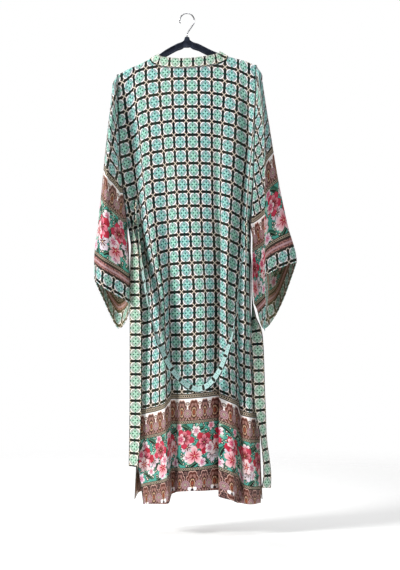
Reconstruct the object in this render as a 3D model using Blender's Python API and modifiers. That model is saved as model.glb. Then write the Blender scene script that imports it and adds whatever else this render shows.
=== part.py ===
"""A long printed kimono coat on a moulded hanger, seen from behind at azimuth 0.

Every size below is in millimetres. x runs to the right as the back is seen, y runs from the back
of the coat to its front, and "drop" is the distance down from the inside crown of the hanger's hook,
which is the origin. "flat" is a place across a piece of cloth before it was folded.
Each cloth piece is a grid of points laid through its fold lines, thickened to a wall.
"""

import bpy
import bmesh
import numpy as np

MM = 0.001

# Driving sizes
WALL = 1.2
BAND_WALL = 2.4
BELT_WALL = 2.0
SEAM = 0.75  # from a seam's middle to the edge of each piece, where the two walls meet at an angle
SEAM_IN_LINE = 0.25  # the same where the two walls run on in line
BAND_GAP = 0.9  # from a front's edge to the band's
NECK_GAP = 0.7  # from the back's neck edge to the band's
BAND_LIFT = 0.6  # the band over the arms, past the difference of the two walls
LOOP_GAP = 1.6  # from the back's wall to a loop's ends
TILE = 39.5  # one repeat of the print across, which the folds are counted in
BAND_WIDTH = 36.0
UNDERARM = 640.0
BACK_HEM = 1425.0  # at the middle of the back, before the hang of the hanger is added
FRONT_HEM = 1418.0  # at the fronts' inner edges
FRONT_DIP = 40.0  # how far the fronts hang lower at the sides
ARM_HEIGHT = 22.0
ARM_HALF = 4.6  # half the thickness of the hanger's arms
ARM_ENDS = (-203, 201)  # x of the last places where an arm carries the cloth
ARM_TIP = 14.0  # over this length an arm narrows to its round end
ARM_TIP_SIZE = 0.45
ROLL = 8.0  # radius of the cloth where it turns over an arm
LIE = 2.1  # from an arm's top to the middle of the cloth on it
FOLDS_FROM = 90.0  # below an arm the cloth's depth has eased into its folds
SIDES_FROM = 150.0  # below an arm a front's columns have eased into their own places
HOOK_WIRE = 1.9  # radius
HOOK_BEND = 21.9  # to the middle of the wire
HOOK_SHANK = ((0.0, 68.6), (0.0, 62.0), (3.0, 54.0), (9.0, 46.0))  # x, drop, up to the bend
HOOK_ANGLES = (-42, 205, 13)  # start, stop and step of the bend, in degrees

# Grids of the cloth, as columns by rows
BACK_GRID = (36, 24)
FRONT_GRID = (18, 22)
SLEEVE_GRID = (30, 16)
BAND_COLUMNS = 2
BELT_GRID = (2, 96)
LOOP_GRID = (2, 14)

# Distances of a panel's first rows below its top edge
TOP_ROWS = (0.0, 0.4, 1.6, 4.2, 9.0, 26.0, 60.0)

# Top line of the hanger's arms: x, drop. The hanger hangs a little lower at the left.
ARM_TOP = (
    (-205, 184), (-171, 166), (-150, 157), (-111, 138), (-87, 124), (-66, 109), (-30, 89), (-9, 79),
    (-6, 69), (6, 69), (9, 78), (36, 90), (72, 108), (93, 117), (123, 130), (171, 143), (203, 156),
)

# Side edges of the body: drop, x, y, then how far the back and front edges stand apart in x and in y.
# They stand apart along the armhole, above the underarm, and again in the slit at the hem.
SIDE_LEFT = (
    (184, -209, 0, 0, 7), (228, -208, 0, 0, 15), (330, -205, 0, 0, 24), (480, -196, 0, 0, 25),
    (600, -183, 0, 0, 14), (640, -177, 1, 0, 0), (710, -168, 5, 0, 0), (880, -167, 10, 0, 0),
    (1160, -159, 12, 0, 0), (1290, -154, 13, 0, 0), (1470, -132, 16, 27, 9),
)
SIDE_RIGHT = (
    (158, 208, 0, 0, 7), (205, 207, 0, 0, 15), (310, 204, 0, 0, 24), (460, 200, 0, 0, 25),
    (600, 193, 0, 0, 14), (640, 189, 0, 0, 0), (710, 187, -1, 0, 0), (880, 187, 1, 0, 0),
    (960, 194, 3, 0, 0), (1160, 216, 6, 0, 0), (1290, 220, 8, 0, 0), (1470, 222, 14, -6, 9),
)
BACK_SAMPLES = 200  # across the back, where its depth is looked up
SIDE_FLAT = ((-5.3, -6.6), (5.6, 7.9))  # in tiles, at the shoulder and below the flare
FLARE = (190, 710)  # the drops between which the sides widen

# Fold lines of the back: place across in tiles at the shoulder and below the flare, then x and y at
# each of these drops.
BACK_LEVELS = (190, 360, 530, 710, 880, 1160, 1470)
BACK_FOLDS = (
    (-4.7, -5.4, (-184, -171, -154, -133, -115, -118, -108), (-12, 4, 4, -8, -12, -14, -14)),
    (-3.6, -3.3, (-146, -129, -116, -90, -68, -66, -54), (-17, -26, -34, -54, -64, -60, -66)),
    (-2.05, -2.05, (-86, -75, -63, -56, -54, -46, -45), (-18, -33, -28, -22, -18, -16, -20)),
    (-1.0, -1.0, (-45, -39, -30, -22, -15, -15, -24), (-19, -38, -40, -42, -40, -38, -40)),
    (0.6, 0.6, (19, 21, 26, 34, 44, 42, 39), (-20, -42, -48, -56, -54, -54, -56)),
    (2.0, 2.0, (74, 74, 75, 81, 86, 82, 81), (-19, -38, -40, -36, -30, -30, -32)),
    (2.5, 2.45, (92, 90, 89, 98, 105, 105, 105), (-18, -34, -32, -18, -10, -12, -12)),
    (3.05, 3.05, (116, 106, 101, 100, 98, 96, 94), (-18, -34, -38, -38, -35, -38, -42)),
    (4.0, 4.0, (153, 144, 134, 123, 118, 129, 135), (-17, -32, -40, -56, -62, -62, -60)),
    (4.85, 5.3, (180, 182, 171, 162, 153, 154, 158), (-12, -4, -6, -24, -22, -22, -22)),
    (5.25, 6.4, (195, 192, 183, 177, 177, 183, 189), (-13, -18, -20, -46, -52, -50, -48)),
)

# How far the sides of the back hang below its middle: place across in tiles, drop.
BACK_DIP = (
    (-6.6, 46), (-5.0, 42), (-3.3, 36), (-2.0, 12), (-1.0, 4), (0.6, 0), (2.0, 0), (3.0, 16),
    (4.0, 28), (5.3, 40), (7.9, 42),
)

# Back edge of the neck opening: x, drop. It leaves the hanger's arms at both ends, round their tops.
NECK = (
    (-111, 136.1), (-110, 137.2), (-109, 139.3), (-107, 144), (-96, 151), (-81, 158), (-51, 162),
    (-21, 164), (9, 163), (39, 160), (69, 156), (96, 149), (108, 144), (119, 136.4), (121, 132),
    (122, 129.4), (123, 128.1),
)
NECK_FLAT = (-2.72, 3.22)
NECK_CORNER = (0.025, 0.05, 0.1, 0.24)  # extra columns of the back inside each end, in tiles
CORNER_APART = 0.12  # an even column nearer than this to one of them is left out

# Fold lines of the fronts, mirrored for the right one: place from the side seam as a share of the
# width, then x and y at each of these drops. The last line is the edge that the band is sewn to.
FRONT_LEVELS = (190, 360, 530, 710, 880, 1160, 1470)
FRONT_FOLDS = (
    (0.22, (-196, -188, -174, -157, -155, -150, -148), (13, 32, 40, 50, 52, 54, 58)),
    (0.40, (-178, -166, -150, -134, -132, -130, -132), (12, 20, 24, 30, 34, 36, 38)),
    (0.62, (-152, -138, -124, -110, -106, -106, -108), (14, 40, 54, 72, 78, 82, 84)),
    (0.80, (-128, -110, -98, -88, -86, -86, -88), (13, 28, 34, 44, 46, 48, 50)),
    (1.00, (-100, -78, -68, -61, -60, -60, -62), (15, 34, 50, 64, 70, 74, 76)),
)
FRONT_CENTRE = (6.0, 8.0)  # x of the plane the fronts are mirrored about, at the neck and low down
FRONT_RIGHT_DEPTH = 0.96  # the right front's folds are this much flatter

# Fold lines of the sleeves, round from the seam at the back to the seam at the front. Each row is the
# share of the way round, the drop of the cuff there, then x and y at each level.
SLEEVE_LEVELS = ((225, 330, 480, 640, 740, 945), (200, 312, 474, 633, 744, 945))
SLEEVE_FOLDS = (
    (
        (0.14, 867, (-211, -210, -203, -190, -184, -178), (-20, -36, -42, -36, -36, -34)),
        (0.24, 845, (-213, -216, -216, -213, -210, -208), (-24, -44, -56, -58, -60, -60)),
        (0.36, 820, (-217, -226, -237, -243, -247, -249), (-26, -52, -70, -80, -84, -84)),
        (0.50, 798, (-223, -235, -250, -266, -277, -270), (-6, -14, -22, -28, -30, -28)),
        (0.62, 852, (-221, -231, -240, -254, -259, -250), (14, 24, 30, 34, 34, 30)),
        (0.76, 945, (-216, -220, -222, -219, -215, -208), (24, 44, 60, 72, 76, 70)),
        (0.90, 915, (-211, -208, -203, -194, -187, -182), (18, 32, 38, 38, 36, 32)),
    ),
    (
        (0.10, 867, (208, 206, 203, 196, 195, 203), (-20, -36, -44, -46, -46, -46)),
        (0.20, 951, (213, 225, 241, 247, 249, 232), (-22, -42, -46, -46, -46, -46)),
        (0.34, 797, (215, 226, 231, 231, 231, 231), (-26, -52, -72, -82, -84, -84)),
        (0.50, 745, (225, 242, 268, 300, 328, 330), (-6, -14, -24, -30, -30, -30)),
        (0.64, 845, (223, 236, 255, 280, 293, 297), (14, 24, 32, 36, 36, 34)),
        (0.78, 910, (218, 225, 237, 249, 261, 267), (24, 44, 60, 72, 76, 72)),
        (0.90, 945, (211, 213, 216, 219, 222, 232), (18, 32, 38, 40, 42, 40)),
    ),
)
# Seam of each sleeve below the underarm: drop, x, y.
SLEEVE_SEAM = (
    ((640, -178, 1), (680, -182, 2), (780, -179, 2), (867, -175, 2)),
    ((640, 190, 0), (680, 199, 4), (780, 203, 6), (867, 206, 6)),
)
SLEEVE_START = 6.0  # from the cloth's top line to the ends of the seam
SLEEVE_SPREAD = 34.0  # below its top edge a sleeve reaches its full section
SLEEVE_CLOSES = 12.0  # over this height above the underarm the two edges close into a tube
SLEEVE_CROWD = 1.4  # how much closer a sleeve's first rows lie

# The way the band stands from its seam, as x, y, up, and its width there. On the fronts it is read
# by the fall below the arm's top, and mirrored for the right front. At the neck it is read by x.
FRONT_WAY = (
    (0, 0.86, 0.00, 0.50, 29), (10, 0.86, 0.00, 0.50, 30), (60, 0.96, 0.05, 0.26, 34),
    (160, 1.0, 0.1, 0.0, BAND_WIDTH),
)
NECK_WAY = (
    (-111, 0.86, 0.00, 0.50, 29), (-107, 0.86, 0.00, 0.50, 29), (-96, 0.52, -0.06, 0.85, 29),
    (-81, 0.16, 0.02, 0.98, 29), (6, 0.00, 0.08, 0.98, 29), (81, -0.10, 0.04, 0.98, 30),
    (108, -0.50, -0.06, 0.86, 30), (119, -0.90, 0.00, 0.42, 27), (123, -0.90, 0.00, 0.42, 27),
)

# The belt from its left end to its right end: x, drop, y, width, turn from facing the back, and how
# much its outer edge sags. It is gathered where it hangs over each loop.
BELT_ROUTE = (
    (-160, 1356, -18, 36, 40, 0.0), (-155, 1250, -20, 36, 18, 0.0), (-153, 1098, -24, 36, 6, 0.0),
    (-153, 948, -26, 36, 8, 0.0), (-155, 858, -26, 36, 26, 0.0), (-156, 744, -26, 34, 38, 0.0),
    (-159, 676, -22, 26, 62, 0.0), (-161, 636, -16, 15, 90, 0.0), (-154, 612, -13, 13, 90, 0.0),
    (-147, 630, -16, 14, 90, 0.0), (-144, 668, -26, 24, 84, 0.0), (-138, 726, -42, 33, 78, 0.0),
    (-128, 789, -62, 36, 74, 0.1), (-116, 858, -80, 36, 72, 0.2), (-99, 933, -90, 36, 72, 0.3),
    (-78, 996, -92, 36, 76, 0.3), (-51, 1053, -88, 36, 84, 0.3), (-21, 1092, -84, 36, 90, 0.3),
    (9, 1115, -82, 36, 90, 0.3), (32, 1122, -82, 36, 90, 0.3), (56, 1114, -84, 36, 90, 0.3),
    (94, 1071, -88, 36, 100, 0.3), (120, 1008, -90, 36, 106, 0.3), (138, 948, -88, 36, 106, 0.2),
    (149, 858, -82, 36, 104, 0.2), (159, 768, -74, 34, 98, 0.1), (168, 714, -68, 28, 94, 0.0),
    (171, 686, -58, 14, 90, 0.0), (177, 662, -55, 13, 90, 0.0), (184, 680, -52, 14, 90, 0.0),
    (189, 712, -36, 16, 90, 0.0), (193, 760, -16, 26, 90, 0.0), (195, 850, -10, 34, 90, 0.0),
    (200, 910, -16, 36, 70, 0.0), (208, 960, -24, 36, 20, 0.0), (213, 1040, -34, 36, -16, 0.0),
    (217, 1158, -36, 36, -20, 0.0), (230, 1278, -32, 36, -60, 0.0), (240, 1383, -26, 36, -50, 0.0),
    (237, 1419, -26, 36, -40, 0.0),
)

BELT_GATHERED = 30  # where it is narrower than this it bends over a loop
BELT_CROWD = 3.0  # there its rows stand this much closer

# Belt loops: name, x, the drops of the two ends, and how far the strip stands off the back.
LOOPS = (("belt_loop_left", -154, 556, 632, 26), ("belt_loop_right", 176, 610, 700, 31))
LOOP_WIDTH = 7.0
LOOP_WALL = 1.6
LOOP_SQUARE = 5  # how squarely a loop stands off the back between its ends

ARM_MORE = (-190, -130, -48, -18, 18, 52, 108, 147, 188)  # x of the arms' other sections
BOSS = ((-9, -6, 6, 9), (0, 10, 10, 0))  # x, and how much taller the section is under the hook

# Half the section of a hanger arm, as y and distance below its top.
ARM_SECTION = (
    (2.8, 0.0), (ARM_HALF, 1.8), (ARM_HALF, 3.8), (2.2, 5.6), (2.2, 16.6), (4.2, 18.4), (4.2, 20.6),
    (3.0, ARM_HEIGHT),
)

# Colour, roughness and metallic value of each material
LOOKS = {
    "printed cloth": ((0.33, 0.55, 0.48), 0.8, 0.0),
    "hanger plastic": ((0.012, 0.018, 0.035), 0.4, 0.0),
    "hook steel": ((0.55, 0.55, 0.57), 0.25, 1.0),
}


def smooth(knots, values, at):
    """Reads a curve through (knots, values) at each place in at. It never overshoots its knots."""
    at = np.atleast_1d(np.asarray(at, float))
    shape = (len(knots), at.size)
    knots = np.broadcast_to(np.asarray(knots, float).reshape(shape[0], -1), shape)
    values = np.broadcast_to(np.asarray(values, float).reshape(shape[0], -1), shape)
    step = np.diff(knots, axis=0)
    rise = np.diff(values, axis=0) / step
    slope = np.concatenate([rise[:1], np.zeros_like(rise[:-1]), rise[-1:]])
    same = rise[:-1] * rise[1:] > 0
    before, after = 2 * step[1:] + step[:-1], step[1:] + 2 * step[:-1]
    safe = np.where(same, rise[:-1], 1.0), np.where(same, rise[1:], 1.0)
    mean = (before + after) / (before / safe[0] + after / safe[1])
    slope[1:-1] = np.where(same, mean, 0.0)
    i = np.clip((knots <= at).sum(axis=0) - 1, 0, shape[0] - 2)[None]

    def here(table, shift=0):
        return np.take_along_axis(table, i + shift, 0)[0]

    h = here(step)
    u = np.clip((at - here(knots)) / h, 0.0, 1.0)
    return (
        here(values) * (1 + 2 * u) * (1 - u) ** 2
        + here(values, 1) * u * u * (3 - 2 * u)
        + h * here(slope) * u * (1 - u) ** 2
        - h * here(slope, 1) * u * u * (1 - u)
    )


def column(table, i):
    return [row[i] for row in table]


def ease(share):
    share = np.clip(share, 0.0, 1.0)
    return share * share * (3 - 2 * share)


def arm_top(x):
    """Drop of the hanger's top line."""
    return smooth(column(ARM_TOP, 0), column(ARM_TOP, 1), x)


def cloth_top(x):
    """Drop of cloth that lies on the hanger, in the middle of its wall. Past the arms it runs on level."""
    return arm_top(np.clip(x, *ARM_ENDS)) - LIE


def roll(y, below, face):
    """Depth of cloth that hangs from an arm: it turns over the arm, then eases into its folds.

    face is -1 for the back of the coat and 1 for its front.
    """
    fall = np.clip(below, 0, ROLL)
    over = face * (SEAM_IN_LINE + (1 - SEAM_IN_LINE / ROLL) * np.sqrt(fall * (2 * ROLL - fall)))
    share = ease(below / FOLDS_FROM)
    return over * (1 - share) + y * share


def side_edge(right, face, drop):
    """x and y of a side edge of the body, on the back or the front."""
    table = SIDE_RIGHT if right else SIDE_LEFT
    drops = column(table, 0)
    x, y, apart_x, apart_y = (smooth(drops, column(table, i), drop) for i in (1, 2, 3, 4))
    if face > 0:
        x = x - apart_x
    x = x + (-SEAM if right else SEAM)
    return x, y + face * np.maximum(apart_y, SEAM)


def through(lines, drop, flat):
    """x and y of cloth at each drop and place across. A line gives its place, x and y at a drop."""
    drop, flat = np.broadcast_arrays(drop, flat)
    at = [line(drop.ravel()) for line in lines]
    places, xs, ys = (np.array([line[i] for line in at]) for i in (0, 1, 2))
    x = smooth(places, xs, flat.ravel())
    y = smooth(places, ys, flat.ravel())
    return x.reshape(drop.shape), y.reshape(drop.shape)


def back_line(row):
    top, low, xs, ys = row

    def line(drop):
        place = TILE * smooth(FLARE, (top, low), drop)
        return place, smooth(BACK_LEVELS, xs, drop), smooth(BACK_LEVELS, ys, drop)

    return line


def back_side_line(right):
    def line(drop):
        place = TILE * smooth(FLARE, SIDE_FLAT[right], drop)
        return (place, *side_edge(right, -1, drop))

    return line


BACK_LINES = [back_side_line(False), *(back_line(row) for row in BACK_FOLDS), back_side_line(True)]


def shoulder_x(tile):
    """x of the back's columns at the shoulder, where the cloth lies flat over the arms."""
    places = [SIDE_FLAT[0][0], *column(BACK_FOLDS, 0), SIDE_FLAT[1][0]]
    xs = [SIDE_LEFT[0][1] + SEAM, *(row[2][0] for row in BACK_FOLDS), SIDE_RIGHT[0][1] - SEAM]
    return smooth(places, xs, tile)


def back_top(tile):
    """Drop of the back's top edge: on the arms, and along the neck between its ends."""
    x = shoulder_x(tile)
    neck = smooth(column(NECK, 0), column(NECK, 1), x)
    return np.where((x > NECK[0][0]) & (x < NECK[-1][0]), neck, cloth_top(x))


def row_drops(top, hem, rows):
    """Drops of a panel's rows: close together over the arms, even below them."""
    fixed = np.array(TOP_ROWS)[:, None]
    even = np.linspace(0, 1, rows + 2 - len(TOP_ROWS))[1:, None]
    start = top[None] + TOP_ROWS[-1]
    return np.concatenate([top[None] + fixed, start + (hem[None] - start) * even])


def back_grid(columns, rows):
    """Points of the back, as rows of x, y and drop, and the place of each column at the shoulder."""
    left, right = SIDE_FLAT[0][0], SIDE_FLAT[1][0]
    inward = np.array([0, *NECK_CORNER])
    corners = np.concatenate([NECK_FLAT[0] + inward, NECK_FLAT[1] - inward])
    even = np.linspace(left, right, columns + 1)
    apart = np.abs(even[:, None] - corners[None]).min(axis=1)
    tile_top = np.sort(np.concatenate([even[apart > CORNER_APART], corners]))[None, :]
    share = (tile_top - left) / (right - left)
    tile_low = SIDE_FLAT[0][1] + share * (SIDE_FLAT[1][1] - SIDE_FLAT[0][1])
    hem = BACK_HEM + smooth(column(BACK_DIP, 0), column(BACK_DIP, 1), tile_low[0])
    drop = row_drops(back_top(tile_top[0]), hem, rows)
    flare = smooth(FLARE, (0, 1), drop.ravel()).reshape(drop.shape)
    flat = TILE * (tile_top * (1 - flare) + tile_low * flare)
    x, y = through(BACK_LINES, drop, flat)
    y = roll(y, drop - cloth_top(shoulder_x(tile_top[0])), -1)
    return np.stack([x, y, drop], -1), tile_top[0]


def front_line(row, right):
    share, xs, ys = row

    def line(drop):
        x = smooth(FRONT_LEVELS, xs, drop)
        y = smooth(FRONT_LEVELS, ys, drop)
        if right:
            outward = side_edge(True, 1, drop)[0] + side_edge(False, 1, drop)[0]
            inner = 2 * smooth(FLARE, FRONT_CENTRE, drop)
            x = -x + outward * (1 - share) + inner * share
            y = y * FRONT_RIGHT_DEPTH
        return np.full(drop.shape, share), x, y

    return line


def front_grid(columns, rows, right):
    lines = [lambda drop: (np.zeros(drop.shape), *side_edge(right, 1, drop))]
    lines += [front_line(row, right) for row in FRONT_FOLDS]
    share = np.linspace(0, 1, columns + 1)[None, :]
    # At the shoulder the front's columns stand over the back's, from the armhole to the neck.
    ends = (SIDE_FLAT[1][0], NECK_FLAT[1]) if right else (SIDE_FLAT[0][0], NECK_FLAT[0])
    tile = ends[0] + share * (ends[1] - ends[0])
    arms = cloth_top(shoulder_x(tile[0]))[None, :]
    hem = FRONT_HEM + FRONT_DIP * (1 - share[0]) ** 2
    drop = row_drops(arms[0], hem, rows)
    x, y = through(lines, drop, share)
    # The top edge keeps the back's x, so that the two meet along the shoulder seam.
    settle = ease((drop - arms) / SIDES_FROM)
    settle[:, 0] = 1.0
    x = shoulder_x(tile[0])[None, :] * (1 - settle) + x * settle
    y = roll(y, drop - arms, 1)
    return np.stack([x, y, drop], -1)


def sleeve_line(row, right):
    share, _, xs, ys = row
    levels = SLEEVE_LEVELS[right]

    def line(drop):
        return np.full(drop.shape, share), smooth(levels, xs, drop), smooth(levels, ys, drop)

    return line


def sleeve_seam(right, face, drop):
    """x and y of a sleeve's seam: along the armhole, then round the closed tube under it."""
    x, y = side_edge(right, face, np.minimum(drop, UNDERARM))
    x = x + (2 * SEAM if right else -2 * SEAM)
    y = roll(y, drop - cloth_top(ARM_ENDS[right]), face)
    table = SLEEVE_SEAM[right]
    low_x, low_y = (smooth(column(table, 0), column(table, i), drop) for i in (1, 2))
    # Just above the underarm the two edges close on the tube's single line.
    near = ease((drop - UNDERARM + SLEEVE_CLOSES) / SLEEVE_CLOSES)
    return x * (1 - near) + low_x * near, y * (1 - near) + low_y * near


def sleeve_grid(columns, rows, right):
    """Points of a sleeve, round it by down it. The rows from the underarm down are closed rings."""
    share = np.linspace(0, 1, columns + 1)[None, :]
    arc = np.pi * share
    x_top = (SIDE_RIGHT if right else SIDE_LEFT)[0][1]
    top_line = cloth_top(ARM_ENDS[right])
    top = top_line + SLEEVE_START * (1 - np.sin(arc))
    folds = SLEEVE_FOLDS[right]
    seam_cuff = SLEEVE_SEAM[right][-1][0]
    cuff = smooth([0, *column(folds, 0), 1], [seam_cuff, *column(folds, 1), seam_cuff], share[0])[None, :]
    closed = (UNDERARM - top[0, 0]) / (seam_cuff - top[0, 0])
    rows_above = round(rows * closed)
    above = np.linspace(0, 1, rows_above + 1) ** SLEEVE_CROWD * closed
    below = np.linspace(closed, 1, rows - rows_above + 1)[1:]
    down = np.concatenate([above, below])[:, None]
    drop = top + (cuff - top) * down
    lines = [lambda drop: (np.zeros(drop.shape), *sleeve_seam(right, -1, drop))]
    lines += [sleeve_line(row, right) for row in folds]
    lines += [lambda drop: (np.ones(drop.shape), *sleeve_seam(right, 1, drop))]
    x, y = through(lines, drop, np.broadcast_to(share, drop.shape))
    # The top edge is the short stretch of seam that goes over the end of the shoulder.
    edge = np.array([sleeve_seam(right, face, top_line + SLEEVE_START)[1][0] for face in (-1, 1)])
    over_x = x_top + (SEAM if right else -SEAM) + 0 * share
    over_y = edge[0] + (edge[1] - edge[0]) * (1 - np.cos(arc)) / 2
    spread = ease((drop - top) / SLEEVE_SPREAD)
    spread[:, [0, -1]] = 1.0
    x = over_x * (1 - spread) + x * spread
    y = over_y * (1 - spread) + y * spread
    return np.stack([x, y, drop], -1), rows_above


def clear_scene():
    for obj in list(bpy.data.objects):
        bpy.data.objects.remove(obj, do_unlink=True)


def material(name):
    colour, roughness, metallic = LOOKS[name]
    made = bpy.data.materials.new(name)
    made.use_nodes = True
    shader = made.node_tree.nodes["Principled BSDF"]
    shader.inputs["Base Color"].default_value = (*colour, 1.0)
    shader.inputs["Roughness"].default_value = roughness
    shader.inputs["Metallic"].default_value = metallic
    return made


def place(name, mesh, collection, look):
    mesh.materials.append(look)
    mesh.shade_smooth()
    made = bpy.data.objects.new(name, mesh)
    collection.objects.link(made)
    return made


def wall(name, points, collection, look, thickness=WALL, closed_from=None):
    """A cloth wall on a grid of points. Rows from closed_from down are rings, ends joined."""
    rows, columns = points.shape[:2]
    mesh_points = []
    index = np.zeros((rows, columns), int)
    for i in range(rows):
        for j in range(columns):
            if closed_from is not None and i >= closed_from and j == columns - 1:
                index[i, j] = index[i, 0]
                continue
            x, y, drop = points[i, j]
            index[i, j] = len(mesh_points)
            mesh_points.append((x * MM, y * MM, -drop * MM))
    faces = [
        (index[i, j], index[i + 1, j], index[i + 1, j + 1], index[i, j + 1])
        for i in range(rows - 1)
        for j in range(columns - 1)
    ]
    mesh = bpy.data.meshes.new(name)
    mesh.from_pydata(mesh_points, [], faces)
    made = place(name, mesh, collection, look)
    thick = made.modifiers.new("wall", "SOLIDIFY")
    thick.thickness = thickness * MM
    thick.offset = 0.0
    return made


def way_at(table, at):
    """x, y, up and width of the band at each place."""
    return np.stack([smooth(column(table, 0), column(table, i), at) for i in (1, 2, 3, 4)], -1)


def band_grid(columns, back, tile_top, front_left, front_right):
    """The neckband: up one front edge, round the back of the neck and down the other front edge."""
    inside = (tile_top > NECK_FLAT[0]) & (tile_top < NECK_FLAT[1])
    neck = back[0][inside]
    ways = []
    for edge, side in ((front_left[::-1, -1], 1), (front_right[:, -1], -1)):
        fall = edge[:, 2] - edge[:, 2].min()
        ways.append(way_at(FRONT_WAY, fall) * [side, 1, 1, 1])
    ways = np.concatenate([ways[0], way_at(NECK_WAY, neck[:, 0]), ways[1]])
    seam = np.concatenate([front_left[::-1, -1], neck, front_right[:, -1]])
    fronts = len(front_left)
    away = ways[:, :3] / np.linalg.norm(ways[:, :3], axis=1)[:, None] * [1, 1, -1]
    gap = np.full(len(seam), BAND_GAP)
    gap[fronts:-fronts] = NECK_GAP
    # The band is thicker than the cloth it is sewn to, so it lies a little higher over the arms.
    lift = 0.5 * (BAND_WALL - WALL) + BAND_LIFT
    face = np.sign(seam[:, 1])
    close = 1 - ease(np.abs(seam[:, 1]) / ROLL)
    seam = seam + away * gap[:, None]
    seam[:, 1] += face * lift * (1 - close)
    seam[:, 2] -= lift * close
    across = np.linspace(0, 1, columns + 1)
    return seam[:, None] + (away * ways[:, 3:])[:, None] * across[None, :, None]


def belt_grid(columns, rows):
    route = np.array(BELT_ROUTE, float)
    centre = route[:, [0, 2, 1]]
    length = np.concatenate([[0], np.cumsum(np.linalg.norm(np.diff(centre, axis=0), axis=1))])
    even = np.linspace(0, length[-1], rows * 3)
    crowd = np.where(route[:, 3] < BELT_GATHERED, BELT_CROWD, 1.0)
    tight = np.interp(even, length, crowd)
    pace = np.concatenate([[0], np.cumsum(tight[1:])])
    at = np.interp(np.linspace(0, pace[-1], rows + 1), pace, even)
    x, y, drop, width, turn, sag = (smooth(length, values, at) for values in (*centre.T, *route[:, 3:].T))
    middle = np.stack([x, y, drop], -1)
    along = np.gradient(middle, axis=0)
    along /= np.linalg.norm(along, axis=1)[:, None]
    turn = np.radians(turn)
    across = np.stack([np.cos(turn), -np.sin(turn), sag], -1)
    across -= (across * along).sum(axis=1)[:, None] * along
    across /= np.linalg.norm(across, axis=1)[:, None]
    share = np.linspace(-0.5, 0.5, columns + 1)
    return middle[:, None] + (across * width[:, None])[:, None] * share[None, :, None]


def back_depth(x, drop):
    """Depth of the back's middle surface at an x and a drop."""
    sides = (TILE * smooth(FLARE, ends, drop)[0] for ends in SIDE_FLAT)
    flat = np.linspace(*sides, BACK_SAMPLES)
    xs, ys = through(BACK_LINES, np.full(flat.shape, float(drop)), flat)
    return float(ys[np.argmin(np.abs(xs - x))])


def loop_grid(columns, rows, x, top, low, bow):
    down = np.linspace(0, 1, rows + 1)
    drop = top + (low - top) * down
    across = x + LOOP_WIDTH * np.linspace(-0.5, 0.5, columns + 1)
    beside = (x - LOOP_WIDTH, x, x + LOOP_WIDTH)
    depth = np.array([min(back_depth(one, at) for one in beside) for at in drop])
    stand = bow * (1 - np.abs(2 * down - 1) ** LOOP_SQUARE)
    y = np.repeat((depth - 0.5 * (WALL + LOOP_WALL) - LOOP_GAP - stand)[:, None], columns + 1, 1)
    across = np.repeat(across[None], rows + 1, 0)
    return np.stack([across, y, np.repeat(drop[:, None], columns + 1, 1)], -1)


def build_hanger(collection, look):
    """The arms and the boss over them, lofted through one section."""
    xs = column(ARM_TOP, 0)
    stations = sorted({*xs, *ARM_MORE})
    outline = [*ARM_SECTION, *((-y, below) for y, below in reversed(ARM_SECTION))]
    mesh = bmesh.new()
    rings = []
    for x in stations:
        top = float(arm_top(x)[0])
        tip = float(np.clip(min(x - xs[0], xs[-1] - x) / ARM_TIP, 0, 1))
        size = ARM_TIP_SIZE + (1 - ARM_TIP_SIZE) * np.sqrt(tip)
        boss = float(np.interp(x, *BOSS))
        ring = []
        for y, below in outline:
            depth = below * size + (boss if below > 0 else 0)
            ring.append(mesh.verts.new((x * MM, y * size * MM, -(top + depth) * MM)))
        rings.append(ring)
    for one, two in zip(rings, rings[1:]):
        for i in range(len(outline)):
            j = (i + 1) % len(outline)
            mesh.faces.new((one[i], one[j], two[j], two[i]))
    mesh.faces.new(rings[0][::-1])
    mesh.faces.new(rings[-1])
    bmesh.ops.recalc_face_normals(mesh, faces=mesh.faces)
    made = bpy.data.meshes.new("hanger")
    mesh.to_mesh(made)
    mesh.free()
    return place("hanger", made, collection, look)


def build_hook(collection, look):
    """A wire hook: its shank stands on the boss and its bend goes over the rail."""
    centre_drop = HOOK_BEND - HOOK_WIRE
    path = list(HOOK_SHANK)
    for angle in np.radians(np.arange(*HOOK_ANGLES)):
        path.append((HOOK_BEND * np.cos(angle), centre_drop - HOOK_BEND * np.sin(angle)))
    curve = bpy.data.curves.new("hanger_hook", "CURVE")
    curve.dimensions = "3D"
    curve.bevel_depth = HOOK_WIRE * MM
    curve.bevel_resolution = 2
    curve.use_fill_caps = True
    spline = curve.splines.new("POLY")
    spline.points.add(len(path) - 1)
    for point, (x, drop) in zip(spline.points, path):
        point.co = (x * MM, 0.0, -drop * MM, 1.0)
    curve.materials.append(look)
    made = bpy.data.objects.new("hanger_hook", curve)
    collection.objects.link(made)
    return made


def main():
    clear_scene()
    collection = bpy.data.collections.new("kimono coat")
    bpy.context.scene.collection.children.link(collection)
    looks = {name: material(name) for name in LOOKS}
    cloth = looks["printed cloth"]
    back, tile_top = back_grid(*BACK_GRID)
    front_left = front_grid(*FRONT_GRID, False)
    front_right = front_grid(*FRONT_GRID, True)
    wall("back_panel", back, collection, cloth)
    wall("front_left", front_left, collection, cloth)
    wall("front_right", front_right, collection, cloth)
    for name, right in (("sleeve_left", False), ("sleeve_right", True)):
        points, closed_from = sleeve_grid(*SLEEVE_GRID, right)
        wall(name, points, collection, cloth, closed_from=closed_from)
    band = band_grid(BAND_COLUMNS, back, tile_top, front_left, front_right)
    wall("neckband", band, collection, cloth, BAND_WALL)
    wall("belt", belt_grid(*BELT_GRID), collection, cloth, BELT_WALL)
    for name, x, top, low, bow in LOOPS:
        wall(name, loop_grid(*LOOP_GRID, x, top, low, bow), collection, cloth, LOOP_WALL)
    build_hanger(collection, looks["hanger plastic"])
    build_hook(collection, looks["hook steel"])


main()
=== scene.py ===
import math

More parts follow.
